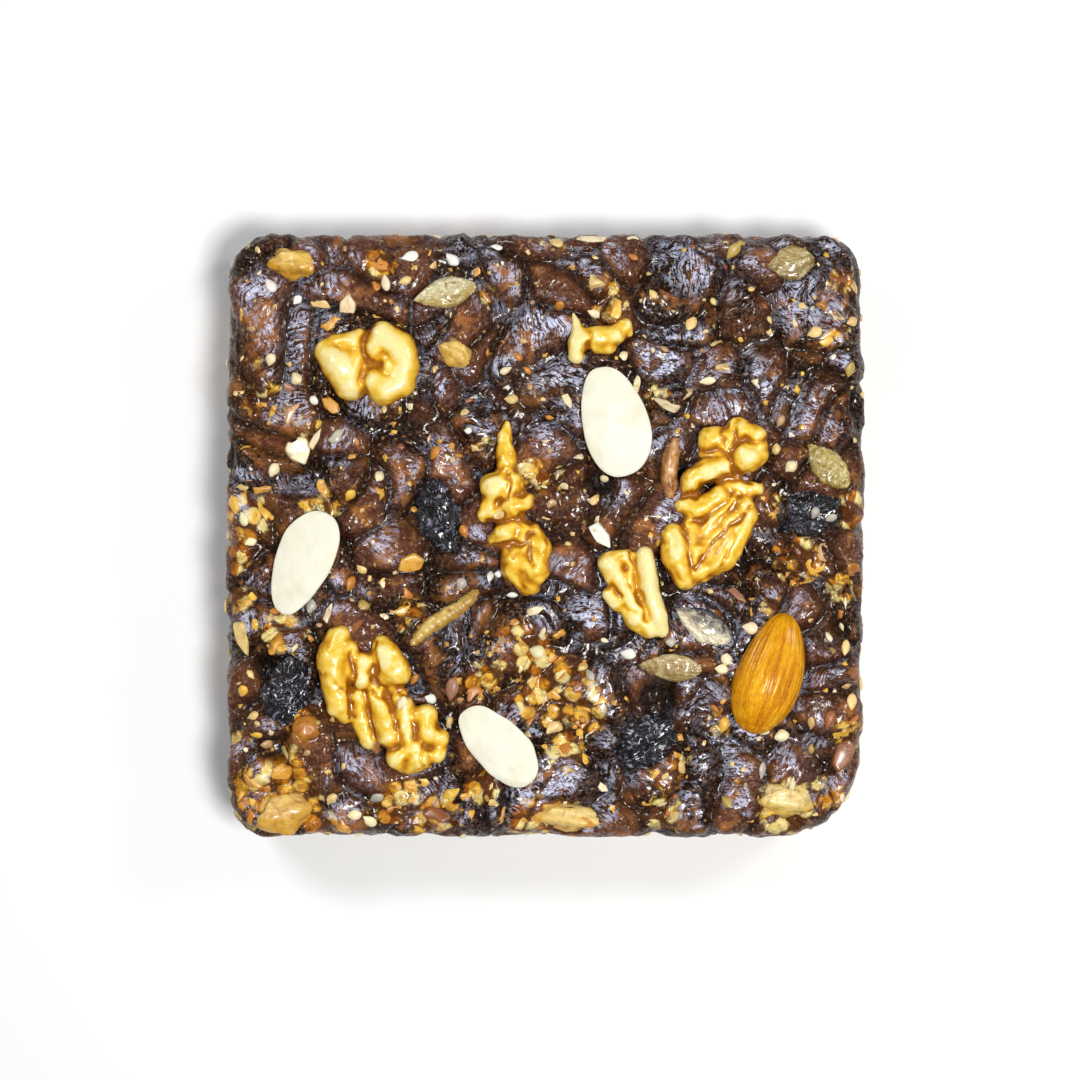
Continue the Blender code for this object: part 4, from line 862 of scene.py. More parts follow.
def lump_field(points):
    """Distance to the nearest and second nearest lump's centre, and which lump is nearest."""
    draw = random.Random(LUMP_SEED)
    reach = math.hypot(SLAB_WIDTH, SLAB_DEPTH) / 2 + LUMP_SPACING
    low = np.array([-reach, -reach, -LUMP_SPACING / 2])
    columns = math.ceil(2 * reach / LUMP_SPACING)
    counts = np.array([columns, columns, math.ceil((SLAB_HEIGHT + LUMP_SPACING) / LUMP_SPACING)])
    jitter = np.array([draw.uniform(0.1, 0.9) for _ in range(3 * counts.prod())]).reshape(*counts, 3)
    home = np.floor((points - low) / LUMP_SPACING).astype(int)
    near = np.full(len(points), FAR_OFF)
    far = near.copy()
    label = np.zeros(len(points), int)
    for offset in itertools.product((-1, 0, 1), repeat=3):
        cell = home + offset
        inside = ((cell >= 0) & (cell < counts)).all(1)
        kept = np.clip(cell, 0, counts - 1)
        centre = low + (kept + jitter[tuple(kept.T)]) * LUMP_SPACING
        away = np.where(inside, np.linalg.norm(points - centre, axis=1), FAR_OFF)
        far = np.minimum(far, np.maximum(away, near))
        label = np.where(away < near, kept @ (counts[1] * counts[2], counts[2], 1), label)
        near = np.minimum(near, away)
    return near, far, label


def noises(points, size, shift=0.0):
    """Noise of about -1 to 1 with features of this size."""
    return np.array([noise.noise(row) for row in (points / size + shift).tolist()])


def noise_vectors(points, size, shift=0.0):
    return np.array([noise.noise_vector(row)[:] for row in (points / size + shift).tolist()])


def ridges(points, size, shift=0.0):
    return 1 - 2 * np.abs(noises(points, size, shift))


def patch_shares(points, spots):
    """How far each point lies in any of the patches seen from above, 0 to 1."""
    share = np.zeros(len(points))
    for u, v, radius, strength in spots:
        away = np.hypot(*(points[:, :2] - at_pixel(u, v)).T) / (radius * MM)
        share = np.maximum(share, strength * np.clip(1.25 * (1 - away**2), 0, 1))
    return share


class Slab:
    """The block with its lumps, then folds and a grain that runs its own way in each lump."""

    def __init__(self):
        """The plain block, its lumps and creases and its pits, with the relief that its solid has too."""
        self.flat, self.faces = block()
        self.normals = normals_of(self.flat, self.faces)
        points = self.flat
        turn = np.array(Matrix.Rotation(LUMP_TURN, 3, "Z"))
        near, far, self.lump = lump_field(points @ turn.T + noise_vectors(points, WARP_LENGTH) * WARP)
        self.gap = far - near
        self.hole = np.zeros(len(points))
        for x, y, radius, depth in PITS:
            away = np.hypot(points[:, 0] - x * MM, points[:, 1] - y * MM) / (radius * MM)
            away[points[:, 2] < SLAB_HEIGHT / 2] = 1
            self.hole = np.maximum(self.hole, depth * MM * step(1.4 * (1 - away)))
        relief = LUMP_RELIEF * (step(self.gap / CREASE_WIDTH) - 0.6)
        relief += WAVE_HEIGHT * noises(points, WAVE_LENGTH / 2) - self.hole
        share = SIDE_RELIEF_SHARE + (1 - SIDE_RELIEF_SHARE) * np.abs(self.normals[:, 2])
        self.weight = (share * step(points[:, 2] / FLAT_FOOT_HEIGHT))[:, None]
        self.relief = relief[:, None]
        self.base = points + self.normals * self.relief * self.weight

    def grain(self, points, spin, turn):
        """Coordinates from each lump's own centre, turned its own way and stretched along the grain."""
        total = np.bincount(self.lump)
        x, y = [axis - (np.bincount(self.lump, weights=axis) / np.maximum(total, 1))[self.lump]
                for axis in points[:, :2].T]
        along = x * np.cos(spin) + y * np.sin(spin)
        across = y * np.cos(spin) - x * np.sin(spin)
        return np.stack([along * GRAIN_STRETCH + turn * 9, across, points[:, 2] * 0.9], 1)

    def surface(self, points, grain, bend, streaky, nuts):
        """The points with folds, wrinkles and roughness, kept under the nuts that lie on them."""
        fold = ridges(points + bend * 2.5, 6.0, 3.0)
        wrinkle = ridges(grain, 2.1, 9.0) * streaky
        rough = noises(points, 2.6, 5.0) + 0.7 * ridges(points + bend, 1.9, 7.0)
        fine = FOLD_RELIEF * (fold - 0.4) + WRINKLE_RELIEF * (wrinkle - 0.2) + ROUGH_RELIEF * rough
        place = self.flat + self.normals * (self.relief + fine[:, None]) * self.weight
        for i in np.nonzero(self.flat[:, 2] > SLAB_HEIGHT - SHOULDER)[0]:
            hit = nuts.ray_cast((place[i, 0], place[i, 1], 2 * SLAB_HEIGHT), -UP)[0]
            if hit is not None:
                place[i, 2] = min(place[i, 2], hit.z - NUT_CLEARANCE)
        return place

    def finished(self, nuts):
        """The fine slab with the values that its material reads."""
        points = self.flat / MM
        draw = np.random.default_rng(GRAIN_SEED)
        count = self.lump.max() + 1
        turn, tone, streaky = [draw.uniform(*span, count)[self.lump]
                               for span in ((0, 2 * math.pi), (0, 1), (0.25, 1.0))]
        bend = noise_vectors(points, 6.0)
        grain = self.grain(points, turn + bend[:, 0] * 0.8, turn)
        place = self.surface(points, grain, bend, streaky, nuts)
        # Painted shade: near the creases between the lumps the paste is painted darker
        crease = 1 - step(self.gap / CREASE_SHADE)
        # Painted sheen: lighter where slopes lean towards SHEEN_WAY, most in the listed patches and in broad
        # noise patches, less in creases
        lean = step((normals_of(place, self.faces) @ SHEEN_WAY - 0.86) / 0.10)
        broad = step((noises(points, 9.0, 6.0) - 0.06) / 0.22) * 0.6
        sheen = np.maximum(patch_shares(self.flat, SHEEN), broad) * (0.05 + 0.95 * lean)
        # The patches are the top's own: lower down the sides the amber lies in pockets
        below = step((SLAB_HEIGHT - TOP_AMBER_DEPTH - self.flat[:, 2]) / AMBER_FADE)
        pockets = step((noises(points, 12.0, 4.0) - 0.10) / 0.2) * 0.8
        amber = patch_shares(self.flat, AMBER) * (1 - below) + pockets * below
        return piece("date_slab_fine", place, self.faces, paste_material(), ALL_SMOOTH, grain=grain,
                     tone=tone, crease=crease, hollow=np.clip(self.hole / PIT_SHADE_DEPTH, 0, 1),
                     amber=amber, sheen=sheen * (1 - 0.5 * crease))


class Ground:
    """A surface to lie on: where a piece lies and which way it faces there, smoothed over its own size."""

    def __init__(self, tree):
        self.tree = tree

    def patch(self, middle, way, across, reach):
        """Mean place and facing over a small disc seen along a way."""
        side = across.normalized() * reach * 0.6
        other = way.cross(side)
        rays = ((0, 0), (1, 0), (-1, 0), (0, 1), (0, -1))
        hits = [self.tree.ray_cast(middle + a * side + b * other, way)[:2] for a, b in rays]
        centre = hits[0][0]
        if centre is None:
            return None, None
        hits = [hit for hit in hits if hit[0] is not None]
        place = sum((hit[0] for hit in hits), Vector()) / len(hits)
        facing = sum((hit[1] for hit in hits), Vector()).normalized()
        return centre + way * (place - centre).dot(way) * 0.5, facing

    def top(self, x, y, reach):
        return self.patch(Vector((x, y, 2 * SLAB_HEIGHT)), -UP, Vector((1, 0, 0)), reach)

    def side(self, angle, height, reach):
        away = Vector((math.cos(angle), math.sin(angle), 0))
        return self.patch(away * SLAB_WIDTH + UP * height, -away, UP, reach)


def laid(place, facing, spin):
    """Matrix of a piece that lies at a place, faces a way and is spun on it."""
    turn = UP.rotation_difference(facing) @ Quaternion(UP, spin)
    return Matrix.Translation(place) @ turn.to_matrix().to_4x4()


# Bodies of unit size

def ringed(rings, sides, outline, section):
    """A closed body along X as lists of vertices and faces, with its share and turn at each vertex."""
    verts, faces, where = [], [], []
    for i in range(1, rings):
        share = (1 - math.cos(math.pi * i / rings)) / 2
        half = outline(share)
        for j in range(sides):
            turn = 2 * math.pi * j / sides
            across, above = section(turn)
            verts.append(Vector((share - 0.5, across * half, above * half)))
            where.append((share, turn))
    for i in range(rings - 2):
        for j in range(sides):
            a, b = i * sides + j, i * sides + (j + 1) % sides
            faces.append([a, a + sides, b + sides, b])
    for end, first in ((-0.5, 0), (0.5, (rings - 2) * sides)):
        tip = len(verts)
        verts.append(Vector((end, 0, 0)))
        where.append((end + 0.5, 0.0))
        for j in range(sides):
            pair = [first + j, first + (j + 1) % sides]
            faces.append([tip, *pair] if end < 0 else [tip, *reversed(pair)])
    return verts, faces, where


def outline_of(fullest, start, end):
    """Half-width along a body, fullest further on for a greater value, with powers for its two ends."""
    return lambda share: 0.5 * math.sin(math.pi * share**fullest) ** (start + (end - start) * share)


SEED_OUTLINE = outline_of(1.15, 0.8, 0.6)
DROP_OUTLINE = outline_of(1.3, 0.72, 0.5)
STRIP_OUTLINE = outline_of(1, 0.4, 0.4)


def oval_section(turn):
    return math.cos(turn), math.sin(turn)


def almond_section(bulge, split):
    """An oval fuller on one side, almost flat on top when split."""
    flatness = 0.22 if split else 1.0

    def section(turn):
        across, above = oval_section(turn)
        return across * (1 + math.copysign(bulge, across)), above if above < 0 else above * flatness

    return section


def shift_of(draw):
    """A random place in the noise."""
    return Vector((draw.uniform(0, 90), 0, 0))


def roughened(verts, shift, amount, detail):
    """The points moved in or out by noise."""
    return [v * (1 + amount * noise.noise(v * detail + shift)) for v in verts]


def drop_body(draw):
    """A sesame seed, a plump drop."""
    verts, faces, _ = ringed(9, 10, DROP_OUTLINE, oval_section)
    return roughened(verts, shift_of(draw), 0.10, 3), faces


def chip_body(draw):
    """A broken nut piece: a convex hull with softened edges and a grainy surface."""
    bm = bmesh.new()
    for _ in range(11):
        way = Vector([draw.gauss(0, 1) for _ in range(3)]).normalized()
        bm.verts.new(way * draw.uniform(0.42, 0.56))
    hull = bmesh.ops.convex_hull(bm, input=bm.verts)
    loose = [g for g in hull["geom_interior"] if isinstance(g, bmesh.types.BMVert)]
    bmesh.ops.delete(bm, geom=loose, context="VERTS")
    bmesh.ops.bevel(bm, geom=bm.edges[:], offset=0.05, segments=2, affect="EDGES", profile=0.5)
    long_edges = [e for e in bm.edges if e.calc_length() > 0.25]
    bmesh.ops.subdivide_edges(bm, edges=long_edges, cuts=1, use_grid_fill=True)
    bmesh.ops.triangulate(bm, faces=bm.faces)
    outwards(bm)
    verts, faces = bmesh_arrays(bm)
    shift = shift_of(draw)
    return [v * min(1 + 0.12 * noise.noise(v * 4 + shift), 0.6 / v.length) for v in verts], faces


def prism_body(draw, corners):
    """A flat broken piece with the given outline, its rim softened."""
    bm = bmesh.new()
    low = []
    for x, y in corners:
        low.append(bm.verts.new((x + draw.uniform(-0.04, 0.04), y + draw.uniform(-0.04, 0.04), -0.5)))
    high = [bm.verts.new((x * 0.86, y * 0.86, 0.5)) for x, y in corners]
    bm.faces.new(list(reversed(low)))
    bm.faces.new(high)
    for i in range(len(corners)):
        j = (i + 1) % len(corners)
        bm.faces.new((low[i], low[j], high[j], high[i]))
    bmesh.ops.bevel(bm, geom=bm.edges[:], offset=0.07, segments=2, affect="EDGES", profile=0.5)
    bmesh.ops.triangulate(bm, faces=bm.faces)
    bmesh.ops.subdivide_edges(bm, edges=[e for e in bm.edges if e.calc_length() > 0.3], cuts=1)
    bmesh.ops.triangulate(bm, faces=bm.faces)
    outwards(bm)
    verts, faces = bmesh_arrays(bm)
    shift = shift_of(draw)
    return [v + Vector((0, 0, 0.22 * noise.noise(v * 2.2 + shift))) for v in verts], faces


def shard_body(draw):
    """A splinter, pointed at its +X end."""
    return prism_body(draw, [(-0.5, -0.30), (0.02, -0.46), (0.5, -0.04), (0.1, 0.40), (-0.44, 0.46)])


def heart_body(draw):
    """A notched piece like a heart."""
    return prism_body(draw, [(0.5, 0.0), (0.1, 0.44), (-0.34, 0.48), (-0.5, 0.2), (-0.3, 0.0), (-0.5, -0.24),
                             (-0.3, -0.48), (0.1, -0.42)])


def flake_body(draw):
    """A thin bent flake."""
    verts, faces = prism_body(draw, [(-0.5, -0.2), (-0.1, -0.5), (0.36, -0.42), (0.5, 0.1), (0.2, 0.5),
                                     (-0.36, 0.36)])
    return [Vector((v.x, v.y, v.z * 0.35 + 0.9 * v.x * v.x - 0.5 * v.y * v.y)) for v in verts], faces


def crumb_body(draw):
    """A small knobbly crumb."""
    verts, faces = icosphere(2)
    return roughened(verts, shift_of(draw), 0.75, 3.0), faces


def ball_body(draw):
    """A round lump with shallow dents."""
    verts, faces = icosphere(3)
    return roughened(verts, shift_of(draw), 0.25, 3.4), faces


# Each kind's body, its thickness as a share of its short side, and how deep it lies as a share of that
KINDS = {
    "sesame": (drop_body, 0.56, -0.12),
    "chip": (chip_body, 0.62, 0.22),
    "shard": (shard_body, 0.34, -0.1),
    "heart": (heart_body, 0.40, 0.0),
    "flake": (flake_body, 0.5, -0.2),
    "crumb": (crumb_body, 0.8, 0.12),
    "ball": (ball_body, 0.8, 0.2),
}


class Heap:
    """Many small bodies gathered in one mesh, each with its own tint."""

    def __init__(self):
        self.verts, self.faces, self.tints = [], [], []

    def add(self, body, matrix, size, tint):
        verts, faces = body
        first = len(self.verts)
        grow = Vector(size)
        self.verts += [matrix @ (v * grow) for v in verts]
        self.faces += [[first + i for i in face] for face in faces]
        self.tints += [(*tint, 1)] * len(verts)

    def made(self, name, material):
        return piece(name, self.verts, self.faces, material, 50, tint=self.tints)


def varied(tint, draw, spread=0.12):
    shift = draw.uniform(-spread, spread)
    return tuple(min(1.0, max(0.0, c * (1 + shift + draw.uniform(-0.04, 0.04)))) for c in tint)


class Scatter:
    """The small pieces, laid one by one and gathered in heaps."""

    def __init__(self, ground, nuts):
        self.ground = ground
        self.nuts = nuts
        self.draw = random.Random(SCATTER_SEED)
        self.heaps = {kind: Heap() for kind in ("sesame", "chip", "crumb")}
        self.taken = []

    def lay(self, kind, spot, long, short, spin, tint):
        place, facing = spot
        body, thickness, sunk = KINDS[kind]
        thick = short * thickness
        matrix = laid(place - facing * thick * sunk, facing, spin)
        heap = self.heaps.get(kind, self.heaps["chip"])
        heap.add(body(self.draw), matrix, (long, short, thick), varied(TINTS[tint], self.draw))
        self.taken.append((place, long))

    def crowded(self, place, long, crowding):
        return any((place - other).length < (long + reach) * crowding for other, reach in self.taken)

    def lay_free(self, kind, x, y, long, short, tint, crowding):
        """Lay a piece on the top unless a nut or another piece is there."""
        if abs(x) > TOP_EDGE * SLAB_WIDTH or abs(y) > TOP_EDGE * SLAB_DEPTH:
            return
        spot = self.ground.top(x, y, short / 2)
        if spot[0] is None or spot[1].z < STEEPEST or self.nuts.find_nearest(spot[0])[3] < long * 0.4:
            return
        if not self.crowded(spot[0], long, crowding):
            self.lay(kind, spot, long, short, self.draw.uniform(0, SPIN_RANGE), tint)

    def point(self, reach):
        return self.draw.uniform(-reach, reach) * SLAB_WIDTH, self.draw.uniform(-reach, reach) * SLAB_DEPTH

    def placed(self):
        """The pieces read from the photograph."""
        for table, surface in ((SCATTER, self.ground), (ON_NUTS, Ground(self.nuts))):
            for (kind, tint), shapes in table.items():
                for u, v, long, short, turn in shapes:
                    spot = surface.top(*at_pixel(u, v), short * MM / 2)
                    if spot[0] is not None:
                        self.lay(kind, spot, long * MM, short * MM, math.radians(turn), tint)

    def clusters(self):
        """Chips and crumbs in the amber patches."""
        draw = self.draw
        for u, v, radius, strength in AMBER:
            x, y = at_pixel(u, v)
            for _ in range(round(CLUSTER_SHARE * strength * radius**2)):
                away = radius * MM * math.sqrt(draw.random())
                turn = draw.uniform(0, SPIN_RANGE)
                long = draw.choice(CLUSTER_SIZES) * draw.uniform(0.8, 1.2) * MM
                kind = "crumb" if long < 1.7 * MM else "chip"
                tint = draw.choice(CLUSTER_TINTS)
                self.lay_free(kind, x + away * math.cos(turn), y + away * math.sin(turn), long,
                              long * draw.uniform(0.6, 0.9), tint, 0.3)

    def crumbs(self):
        """Crumbs and small seeds anywhere on the top."""
        draw = self.draw
        for _ in range(CRUMB_COUNT):
            x, y = self.point(0.49)
            long = draw.uniform(0.7, 1.5) * MM if draw.random() < 0.75 else draw.uniform(1.4, 2.8) * MM
            tint = draw.choice(CRUMB_TINTS)
            kind = "crumb" if long < 1.6 * MM else "chip"
            self.lay_free(kind, x, y, long, long * draw.uniform(0.6, 0.9), tint, 0.4)
        for _ in range(FLECK_COUNT):
            x, y = self.point(0.47)
            long = draw.uniform(1.7, 3.1) * MM
            tint = draw.choice(FLECK_TINTS)
            self.lay_free("sesame", x, y, long, long * draw.uniform(0.55, 0.7), tint, 0.6)

    def sides(self):
        """The sides carry the same mix as the top, in cells of the slab's outline."""
        draw = self.draw
        columns = round(2 * (SLAB_WIDTH + SLAB_DEPTH) / SIDE_SPACING)
        for i, j in itertools.product(range(columns), range(SIDE_ROWS)):
            angle = 2 * math.pi * (i + draw.random()) / columns
            height = (0.10 + 0.72 * (j + draw.random()) / SIDE_ROWS) * SLAB_HEIGHT
            kind, tint = draw.choice(SIDE_KINDS)
            lengths = {name: draw.uniform(*span) for name, span in SIDE_LENGTHS.items()}
            long = lengths[kind] * MM
            short = long * (0.62 if kind == "sesame" else draw.uniform(0.6, 0.9))
            spot = self.ground.side(angle, height, short / 2)
            if spot[0] is None or spot[0].z < long * 0.6 + 0.4 * MM or self.crowded(spot[0], long, 0.5):
                continue
            self.lay(kind, spot, long, short, draw.uniform(0, SPIN_RANGE), tint)


# Nuts

def relaxed(co, edges, rounds):
    """The points after each has moved to the mean of its neighbours this many times."""
    degree = np.bincount(edges.reshape(-1), minlength=len(co))[:, None]
    for _ in range(rounds):
        total = np.zeros_like(co)
        for axis in range(3):
            for one, other in ((0, 1), (1, 0)):
                total[:, axis] += np.bincount(edges[:, one], weights=co[edges[:, other], axis],
                                              minlength=len(co))
        co = (co + total / degree) / 2
    return co


def read_mesh(mesh):
    """Points in millimetres, normals and edges."""
    co = np.empty(len(mesh.vertices) * 3, np.float32)
    normals = np.empty(len(mesh.vertices) * 3, np.float32)
    edges = np.empty(len(mesh.edges) * 2, np.int32)
    mesh.vertices.foreach_get("co", co)
    mesh.vertices.foreach_get("normal", normals)
    mesh.edges.foreach_get("vertices", edges)
    return co.reshape(-1, 3).astype(float) / MM, normals.reshape(-1, 3).astype(float), edges.reshape(-1, 2)


def write_mesh(mesh, co):
    mesh.vertices.foreach_set("co", np.asarray(co * MM, np.float32).reshape(-1))
    mesh.update()


def near_path(points, path):
    """Distance of each point from a path, seen from above."""
    nearest = np.full(len(points), 99.0)
    for start, end in zip(path, path[1:]):
        start, way = np.array(start), np.subtract(end, start)
        share = np.clip(((points[:, :2] - start) @ way) / (way @ way), 0, 1)
        nearest = np.minimum(nearest, np.hypot(*(points[:, :2] - start - share[:, None] * way).T))
    return nearest


def balls_joined(name, lobes, material):
    """Balls strung along each lobe and joined into one closed skin."""
    ball, ball_faces = [np.array(part) for part in icosphere(3, 1)]
    verts, faces = [], []
    for chain in lobes:
        for start, end in zip(chain, chain[1:]):
            steps = max(2, math.ceil(math.dist(start[:3], end[:3]) / (BALL_STEP * min(start[3], end[3]))))
            for i in range(steps + 1):
                x, y, z, radius = [a + (b - a) * i / steps for a, b in zip(start, end)]
                faces.append(ball_faces + len(verts) * len(ball))
                verts.append((ball * radius + (x, y, z)) * MM)
    thing = new_object(name, mesh_of(name, np.concatenate(verts), np.concatenate(faces)), material)
    remesh = thing.modifiers.new("join", "REMESH")
    remesh.mode = "VOXEL"
    remesh.voxel_size = KERNEL_VOXEL
    bpy.context.view_layer.update()
    graph = bpy.context.evaluated_depsgraph_get()
    mesh = bpy.data.meshes.new_from_object(thing.evaluated_get(graph))
    thing.modifiers.clear()
    mesh.materials.clear()
    mesh.materials.append(material)
    thing.data = mesh
    return thing


def kernel(name, nut, material):
    """A walnut's lobes blended, then creased and wrinkled, and coloured with painted light and shade."""
    thing = balls_joined(name + "_fine", nut["lobes"], material)
    mesh = thing.data
    co, normals, edges = read_mesh(mesh)
    write_mesh(mesh, relaxed(co, edges, BLEND_ROUNDS) + normals * 0.10)
    co, normals, edges = read_mesh(mesh)
    shift = len(name) * 1.37
    warped = co + noise_vectors(co, 2.5, shift) * 0.9
    carved = np.zeros(len(co))
    for depth, width, *path in nut["creases"]:
        near = np.exp(-((near_path(warped, path) / (width * CREASE_SPREAD)) ** 2))
        carved = np.maximum(carved, depth * CREASE_DEPTH * near)
    carved *= step((normals[:, 2] + 0.35) / 0.6)
    knobs = -ridges(warped, 4.4, shift + 4) * 0.42 - ridges(warped, 2.3, shift + 9) * 0.20
    swell = noises(co, 3.2, shift) * 0.22 + knobs * nut["billow"] - ridges(warped, 1.5, shift) * 0.05
    co = co + normals * (swell - 0.5 * carved)[:, None]
    co[:, 2] -= carved * 0.6
    write_mesh(mesh, co)
    co, normals, edges = read_mesh(mesh)
    co = relaxed(co, edges, 1)
    # Painted light and shade with the kernel's own tone and pale parts: paler on swellings and upward faces,
    # darker in hollows and creases
    stand = ((co - relaxed(co, edges, SHADE_ROUNDS)) * normals).sum(1)
    level = 0.43 + nut["tone"] + np.clip(stand, -0.22, 0.3) * 1.8 + 0.7 * (normals[:, 2] - 0.8) - carved * 0.1
    for width, *path in nut["pale"]:
        level += 0.32 * np.exp(-((near_path(co, path) / width) ** 4))
    # Darker low on the sides, partly painted shade and partly the browner skin there
    put(mesh, fold=np.clip(level, 0, 1), low=1 - step((co[:, 2] + 0.6) / 2.6))
    write_mesh(mesh, co + (*nut["place"], SLAB_HEIGHT / MM))
    smooth(thing, ALL_SMOOTH)
    return thing


def almond_parts(name, rings, sides):
    """The unit body of an almond with its share and turn at each vertex, its matrix and its size."""
    (x, y), spin, size, lift, (tip, end, fullest, bulge), split = ALMONDS[name]
    body = ringed(rings, sides, outline_of(fullest, tip, end), almond_section(bulge, split))
    top = Matrix.Translation((x * MM, y * MM, SLAB_HEIGHT + lift * MM))
    return body, top @ Matrix.Rotation(math.radians(spin - 90), 4, "Z"), Vector(size) * MM


def split_almond(name, material):
    """A split almond: flat cut face with a soft rim and slight dents."""
    (verts, faces, where), matrix, grow = almond_parts(name, 64, 96)
    shift = Vector((len(name) * 1.7, 0, 0))
    placed, rims = [], []
    for v, (share, turn) in zip(verts, where):
        point = v * grow
        edge = 1 - abs(math.sin(turn))
        dent = noise.noise(point / (4 * MM) + shift) * 0.35 + noise.noise(point / (1.6 * MM) + shift) * 0.10
        if math.sin(turn) > 0:
            point.z += dent * MM * 0.6
        uneven = noise.noise(Vector((share * 5, math.cos(turn) * 2, len(name))))
        point *= 1 + RAGGED.get(name, UNEVEN) * uneven
        placed.append(matrix @ point)
        rims.append(step((edge - 0.72) / 0.28) if math.sin(turn) > 0 else 0.4)
    return piece(name + "_fine", placed, faces, material, rim=rims)


def whole_almond(name, material):
    """A whole almond with lengthwise wrinkles that meet at its tip and a puckered blunt end."""
    (verts, faces, where), matrix, grow = almond_parts(name, 110, 150)
    placed, grains, ribs = [], [], []
    for v, (share, turn) in zip(verts, where):
        round_way = Vector((math.cos(turn), math.sin(turn), 0))
        bend = 0.35 * noise.noise(Vector((share * 2.2, *round_way.xy)))
        groove = 1 - 2 * abs(noise.noise(round_way * 4.2 + Vector((bend, bend, share * 1.1))))
        groove += 0.5 * (1 - 2 * abs(noise.noise(round_way * 9 + Vector((bend, 0, share * 1.8)))))
        depth = 0.30 * math.sin(math.pi * min(share * 1.05, 1.0)) ** 0.6
        pucker = 0.4 * noise.noise(Vector((share * 38, *(round_way.xy * 1.5))))
        pucker *= float(step((share - 0.86) / 0.12))
        point = v * grow
        out = Vector((0, v.y, v.z)).normalized() if v.yz.length > 1e-6 else Vector()
        point += out * ((groove - 0.9) * depth * 0.55 + pucker) * MM
        point.y += 0.35 * MM * math.sin(share * 5)
        placed.append(matrix @ point)
        grains.append((share * 7.0, round_way.x * 5.0, round_way.y * 5.0))
        ribs.append(min(1.0, max(0.0, groove / 1.5)))
    return piece(name + "_fine", placed, faces, material, ALL_SMOOTH, grain=grains, rib=ribs)


def pressed(name, shape, body, ground, material):
    """One of the larger pieces in the paste, at its solid's place, tinted from its near to its far side."""
    (x, y), spin, size, near, far = shape
    verts, faces = body
    low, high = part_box(name)
    _, facing = ground.top(x * MM, y * MM, size[0] * MM / 3)
    matrix = laid((low + high) / 2, facing, math.radians(spin)) @ Matrix.Diagonal((*(Vector(size) * MM), 1))
    shares = [float(step(0.5 + 1.6 * v.y + 0.5 * noise.noise(v * 5))) for v in verts]
    return piece(name + "_fine", [matrix @ v for v in verts], faces, material,
                 tint=[(*(a + (b - a) * share for a, b in zip(near, far)), 1) for share in shares],
                 grain=[(v.x * size[0] * 0.15, v.y * size[1], v.z * size[2]) for v in verts])


def melon_body(seed, ribs):
    """A flat seed with a raised uneven rim, and ribs across it or none."""
    verts, faces, where = ringed(60, 56, SEED_OUTLINE, oval_section)
    out = []
    for v, (share, _) in zip(verts, where):
        across = abs(v.y) / max(SEED_OUTLINE(share), 1e-6)
        rim = math.exp(-((across - 0.80) / 0.12) ** 2) * 0.07 - 0.06 * (1 - across)
        bump = 0.12 * noise.noise(Vector((v.x * 7, v.y * 7, seed)))
        rib = 0.07 * ribs * math.sin(v.x * 48 + 6 * v.y)
        ragged = 1 + 0.10 * noise.noise(Vector((share * 6, math.copysign(1.5, v.y), seed)))
        out.append(Vector((v.x, v.y * ragged, v.z + math.copysign(rim + bump + rib, v.z))))
    return out, faces


def raisin_body(seed):
    """A dented body with deep wrinkles."""
    verts, faces = icosphere(5)
    out = []
    for v in verts:
        dent = 0.42 * noise.noise(v * 3.2 + Vector((4, 0, 0)))
        bent = v * 5 + noise.noise_vector(v * 4 + Vector((seed, 0, 0))) * 1.2
        wrinkle = 0.16 * (0.4 - abs(noise.noise(bent)) * 2) + 0.06 * (0.4 - abs(noise.noise(bent * 2.3)) * 2)
        out.append(v * (1 + dent + wrinkle))
    return out, faces


def chunk_body(seed):
    """A dented body with shallow cracks."""
    verts, faces = icosphere(5)
    out = []
    for v in verts:
        dent = 0.32 * noise.noise(v * 2.6 + Vector((11, 0, 0)))
        crack = 0.05 * noise.fractal(v * 6 + Vector((seed, 0, 0)), 1.0, 2.0, 3)
        out.append(v * (1 + dent + crack))
    return out, faces


def strip_body(seed):
    """A strip of fig skin: a bent ribbon with cross ribs."""
    verts, faces, where = ringed(90, 24, STRIP_OUTLINE, oval_section)
    out = []
    for v, (share, _) in zip(verts, where):
        rib = 0.10 * math.sin(share * 52 + 2 * math.sin(share * 9))
        waist = 1 + 0.22 * noise.noise(Vector((share * 5, 0, seed))) + rib * 0.35
        out.append(Vector((v.x, v.y * waist + 0.14 * math.sin(share * 6), v.z * (1 + rib))))
    return out, faces


